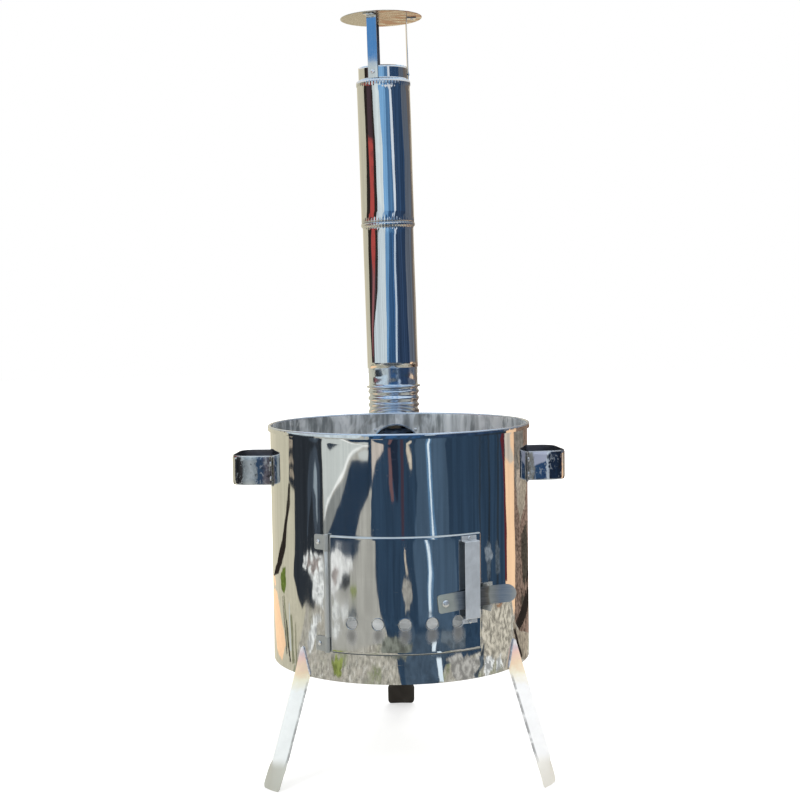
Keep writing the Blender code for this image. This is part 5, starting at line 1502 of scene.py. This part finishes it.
def asSeen(tone):                               # what a card must give for steel to show the tone
    return [channel / share for channel, share in zip(linear(tone), mirrorTone)]


# How a card's tone varies over it: as stretch, scale, and where its dark and its pale parts end
mottles = {"even": ((1.0, 1.0, 0.16), 11.0, 0.32, 0.68), "crumpled": ((1.0, 1.0, 8.0), 15.0, 0.42, 0.58),
           "pipe": ((1.0, 1.0, 0.12), 3.6, 0.32, 0.68)}


def cardPaintOf(tone):
    look, change, edge, crumpled = tones[tone]
    kind = "crumpled" if crumpled else "even" if edge else "pipe"
    stretch, scale, low, high = mottles[kind]
    colour = asSeen(look)
    paint = glowPaint(tone + "Card")
    mottle = paint.cloud(paint.scaled(paint.place(), stretch), scale, 6.0, 0.7, 0.7)
    paint.set(EmissionColor=paint.mix(mottle.rise(low, high), tinted(colour, 1 - change),
                                      tinted(colour, 1 + change)))
    return paint


cardPaints = {tone: cardPaintOf(tone) for tone in tones}


def mirrorOnly(item):
    item.visible_camera = item.visible_diffuse = item.visible_shadow = False
    item.visible_transmission = item.visible_volume_scatter = False


def mirroredSpot(mirror, azimuth, height, depth):
    # The place on the ring of cards, or on the ground, that the camera sees at this part of a mirror
    out = outward(math.radians(azimuth))
    height /= 1000
    here = Vector((mirror["lean"] * (height - mirror["base"]), mirror["y"], height))
    here += out * mirror["radius"]
    way = (here - cameraPlace).normalized()
    way -= 2 * way.dot(out) * out
    across = Vector((way.x, way.y))
    aside = Vector((here.x, here.y - axisY))
    radius = stage["cardRadius"] - stage["cardStep"] * depth
    half = aside.dot(across) / across.length_squared
    reach = math.sqrt(half ** 2 - (aside.length_squared - radius ** 2) / across.length_squared) - half
    spot = here + way * reach
    mat = stage["mat"] + stage["matStep"] * depth
    if spot.z < mat:
        spot = here + way * (mat - here.z) / way.z
    return spot


uneven = {"across": 0.45, "up": 0.035, "layer": 3.7, "finer": 2.2, "degrees": 0.35, "height": 2.2,
          "apart": 40}


def wandering(azimuth, height, depth, edge):    # uneven edges for the shapes
    seed = Vector((azimuth * uneven["across"], height * uneven["up"], depth * uneven["layer"]))
    seed *= 1.0 if edge < 2 else uneven["finer"]
    return (azimuth + uneven["degrees"] * edge * noise.noise(seed),
            height + uneven["height"] * edge * noise.noise(seed + Vector((uneven["apart"], 0, 0))))


def addCard(name, tone, corners, depth, placed, cuts=11):
    bm = bmesh.new()
    face = bm.faces.new([bm.verts.new((across, height, 0.0)) for across, height in corners])
    bmesh.ops.triangulate(bm, faces=[face])
    bmesh.ops.subdivide_edges(bm, edges=bm.edges, cuts=cuts, use_grid_fill=True)
    for vert in bm.verts:
        vert.co = placed(vert.co.x, vert.co.y, depth, tones[tone][2])
    mirrorOnly(newItem(name, bm, cardPaints[tone]))


def onWall(azimuth, height, depth, edge):
    return around(math.radians(azimuth), stage["cardRadius"] - stage["cardStep"] * depth, height)


def inDrum(azimuth, height, depth, edge):
    return mirroredSpot(mirrors["drum"], *wandering(azimuth, height, depth, edge), depth)


def inPipe(azimuth, height, depth, edge):
    return mirroredSpot(mirrors["pipe"], azimuth, height, depth)


def addCards():
    for depth, (name, tone, (left, right, low, high)) in enumerate(walls):
        addCard(name, tone, [(left, low), (right, low), (right, high), (left, high)],
                depth * stage["wallDepth"], onWall)
    before = [pipeLeft] * len(pipeLevels)
    for index, (tone, after) in enumerate(pipeStripes):
        for step in range(len(pipeLevels) - 1):
            shown = tone if step < lowStep else lowTones.get(tone, tone)
            corners = [(before[step], pipeLevels[step]), (after[step], pipeLevels[step]),
                       (after[step + 1], pipeLevels[step + 1]), (before[step + 1], pipeLevels[step + 1])]
            addCard("pipe" + tone.capitalize() + str(10 * index + step), shown, corners,
                    stage["stripeDepth"], inPipe, 3)
        before = after
    addCard("pipeRed", "red", pipeRed, stage["markDepth"], inPipe)
    addCard("pipeRose", "pipeRose", pipeRose, stage["markDepth"], inPipe)
    for depth, (name, tone, corners) in enumerate(drumShapes):
        addCard(name, tone, corners, depth + 1, inDrum)


addCards()


def addDisc(name, radius, height, paint, y=0.0):
    bm = bmesh.new()
    bmesh.ops.create_circle(bm, cap_ends=True, segments=96, radius=radius)
    disc = newItem(name, bm, paint)
    disc.location = (0.0, y, height)
    return disc


groundTones = {"clod": "#74746b", "sand": "#c3bfb2", "patch": "#a8a398", "blade": "#e6e6de",
               "shade": "#4a4c46", "tuft": "#6d7a48"}


def addGround():                                # dry ground, as the polished drum shows it
    paint = glowPaint("groundCard")
    tone = {part: asSeen(look) for part, look in groundTones.items()}
    place = paint.place()
    x, y, z = paint.parts(place)
    reach = (x * x + y * y) ** 0.5
    clods = paint.cloud(place, 24.0, 6.0, 0.75, 0.7)
    patch = paint.cloud(place, 5.0, 4.0, 0.6, 0.6)
    fan = paint.vector(paint.turned(x, 0.0 - y) * 17.0, reach * 7.0, 0.0)
    blades = paint.cloud(fan, 2.2, 5.0, 0.75, 0.5)
    tufts = paint.cloud(place, 3.1, 3.0, 0.6, 0.6).rise(0.54, 0.66) * blades.rise(0.4, 0.6)
    colour = paint.mix(clods.rise(0.40, 0.60), tone["clod"], tone["sand"])
    colour = paint.mix(patch.rise(0.45, 0.65) * 0.6, colour, tone["patch"])
    colour = paint.mix(blades.rise(0.54, 0.64) * 0.8, colour, tone["blade"])
    colour = paint.mix((1 - blades.rise(0.36, 0.44)) * 0.65, colour, tone["shade"])
    colour = paint.mix(tufts * 0.8, colour, tone["tuft"])
    paint.set(EmissionColor=colour)
    mirrorOnly(addDisc("groundCard", stage["groundRadius"], stage["groundHeight"], paint, axisY))


def addSky():                                   # pale blue overhead, for the steel alone
    paint = glowPaint("skyCard")
    cloud = paint.cloud(paint.place(), 1.3, 4.0, 0.6, 0.8)
    paint.set(EmissionColor=paint.mix(cloud.rise(0.4, 0.62), asSeen("#7fa8cf"), asSeen("#dfe8ee")))
    mirrorOnly(addDisc("skyCard", stage["skyRadius"], stage["skyHeight"], paint))


def addFloor():                                 # pale, and paler still far off
    paint = Paint("paleFloor")
    seen = paint.node("LightPath", output="Is Camera Ray")
    mottle = paint.cloud(paint.place(), 3.0, 3.0, 0.5)
    paint.set(BaseColor=paint.mix(mottle, (0.80, 0.80, 0.80), (0.82, 0.82, 0.82)), Roughness=0.9)
    paint.shader.inputs["Specular IOR Level"].default_value = 0.0
    lift = seen.most(paint.node("LightPath", output="Is Glossy Ray"))
    x, y, z = paint.parts(paint.place())
    far = ((x * x + y * y) ** 0.5).rise(0.5, 2.4)
    paint.set(EmissionStrength=lift, EmissionColor=paint.mix(far, (0.42, 0.42, 0.42), (1.0, 1.0, 1.0)))
    addDisc("floor", stage["floor"], 0.0, paint)


addGround()
addSky()
addFloor()


def addLamp(name, place, size, power):
    lamp = bpy.data.lights.new(name, "AREA")
    lamp.shape = "DISK"
    lamp.size = size
    lamp.energy = power
    item = bpy.data.objects.new(name, lamp)
    scene.collection.objects.link(item)
    item.location = place
    item.rotation_euler = (Vector(stage["lampAim"]) - Vector(place)).to_track_quat("-Z", "Y").to_euler()
    item.visible_glossy = False


for lamp in stage["lamps"]:
    addLamp(*lamp)


def addWorld():                                 # white where it is seen, softer where it lights
    world = bpy.data.worlds.new("studio")
    scene.world = world
    world.use_nodes = True
    tree = world.node_tree
    tree.nodes.clear()
    path = tree.nodes.new("ShaderNodeLightPath")
    seen = path.outputs["Is Camera Ray"]
    for ray in ("Is Glossy Ray", "Is Transmission Ray"):
        most = tree.nodes.new("ShaderNodeMath")
        most.operation = "MAXIMUM"
        tree.links.new(seen, most.inputs[0])
        tree.links.new(path.outputs[ray], most.inputs[1])
        seen = most.outputs[0]
    pick = tree.nodes.new("ShaderNodeMixShader")
    tree.links.new(seen, pick.inputs[0])
    for place, strength in ((1, stage["ambient"]), (2, 1.0)):
        light = tree.nodes.new("ShaderNodeBackground")
        light.inputs["Color"].default_value = (1.0, 1.0, 1.0, 1.0)
        light.inputs["Strength"].default_value = strength
        tree.links.new(light.outputs[0], pick.inputs[place])
    out = tree.nodes.new("ShaderNodeOutputWorld")
    tree.links.new(pick.outputs[0], out.inputs["Surface"])


addWorld()
scene.view_settings.view_transform = "Standard"


def addCamera():
    data = bpy.data.cameras.new("camera")
    data.sensor_width = 36
    data.lens = camera["lens"]
    item = bpy.data.objects.new("camera", data)
    scene.collection.objects.link(item)
    azimuth = math.radians(camera["azimuth"])
    item.matrix_world = (Matrix.Translation(cameraPlace)
                         @ Matrix.Rotation(azimuth + camera["aim"], 4, "Z")
                         @ Matrix.Rotation(math.pi / 2 - math.radians(camera["pitch"]), 4, "X")
                         @ Matrix.Rotation(math.radians(camera["roll"]), 4, "Z"))
    scene.camera = item


addCamera()
bpy.context.view_layer.update()
print("stage, lamps and camera set")
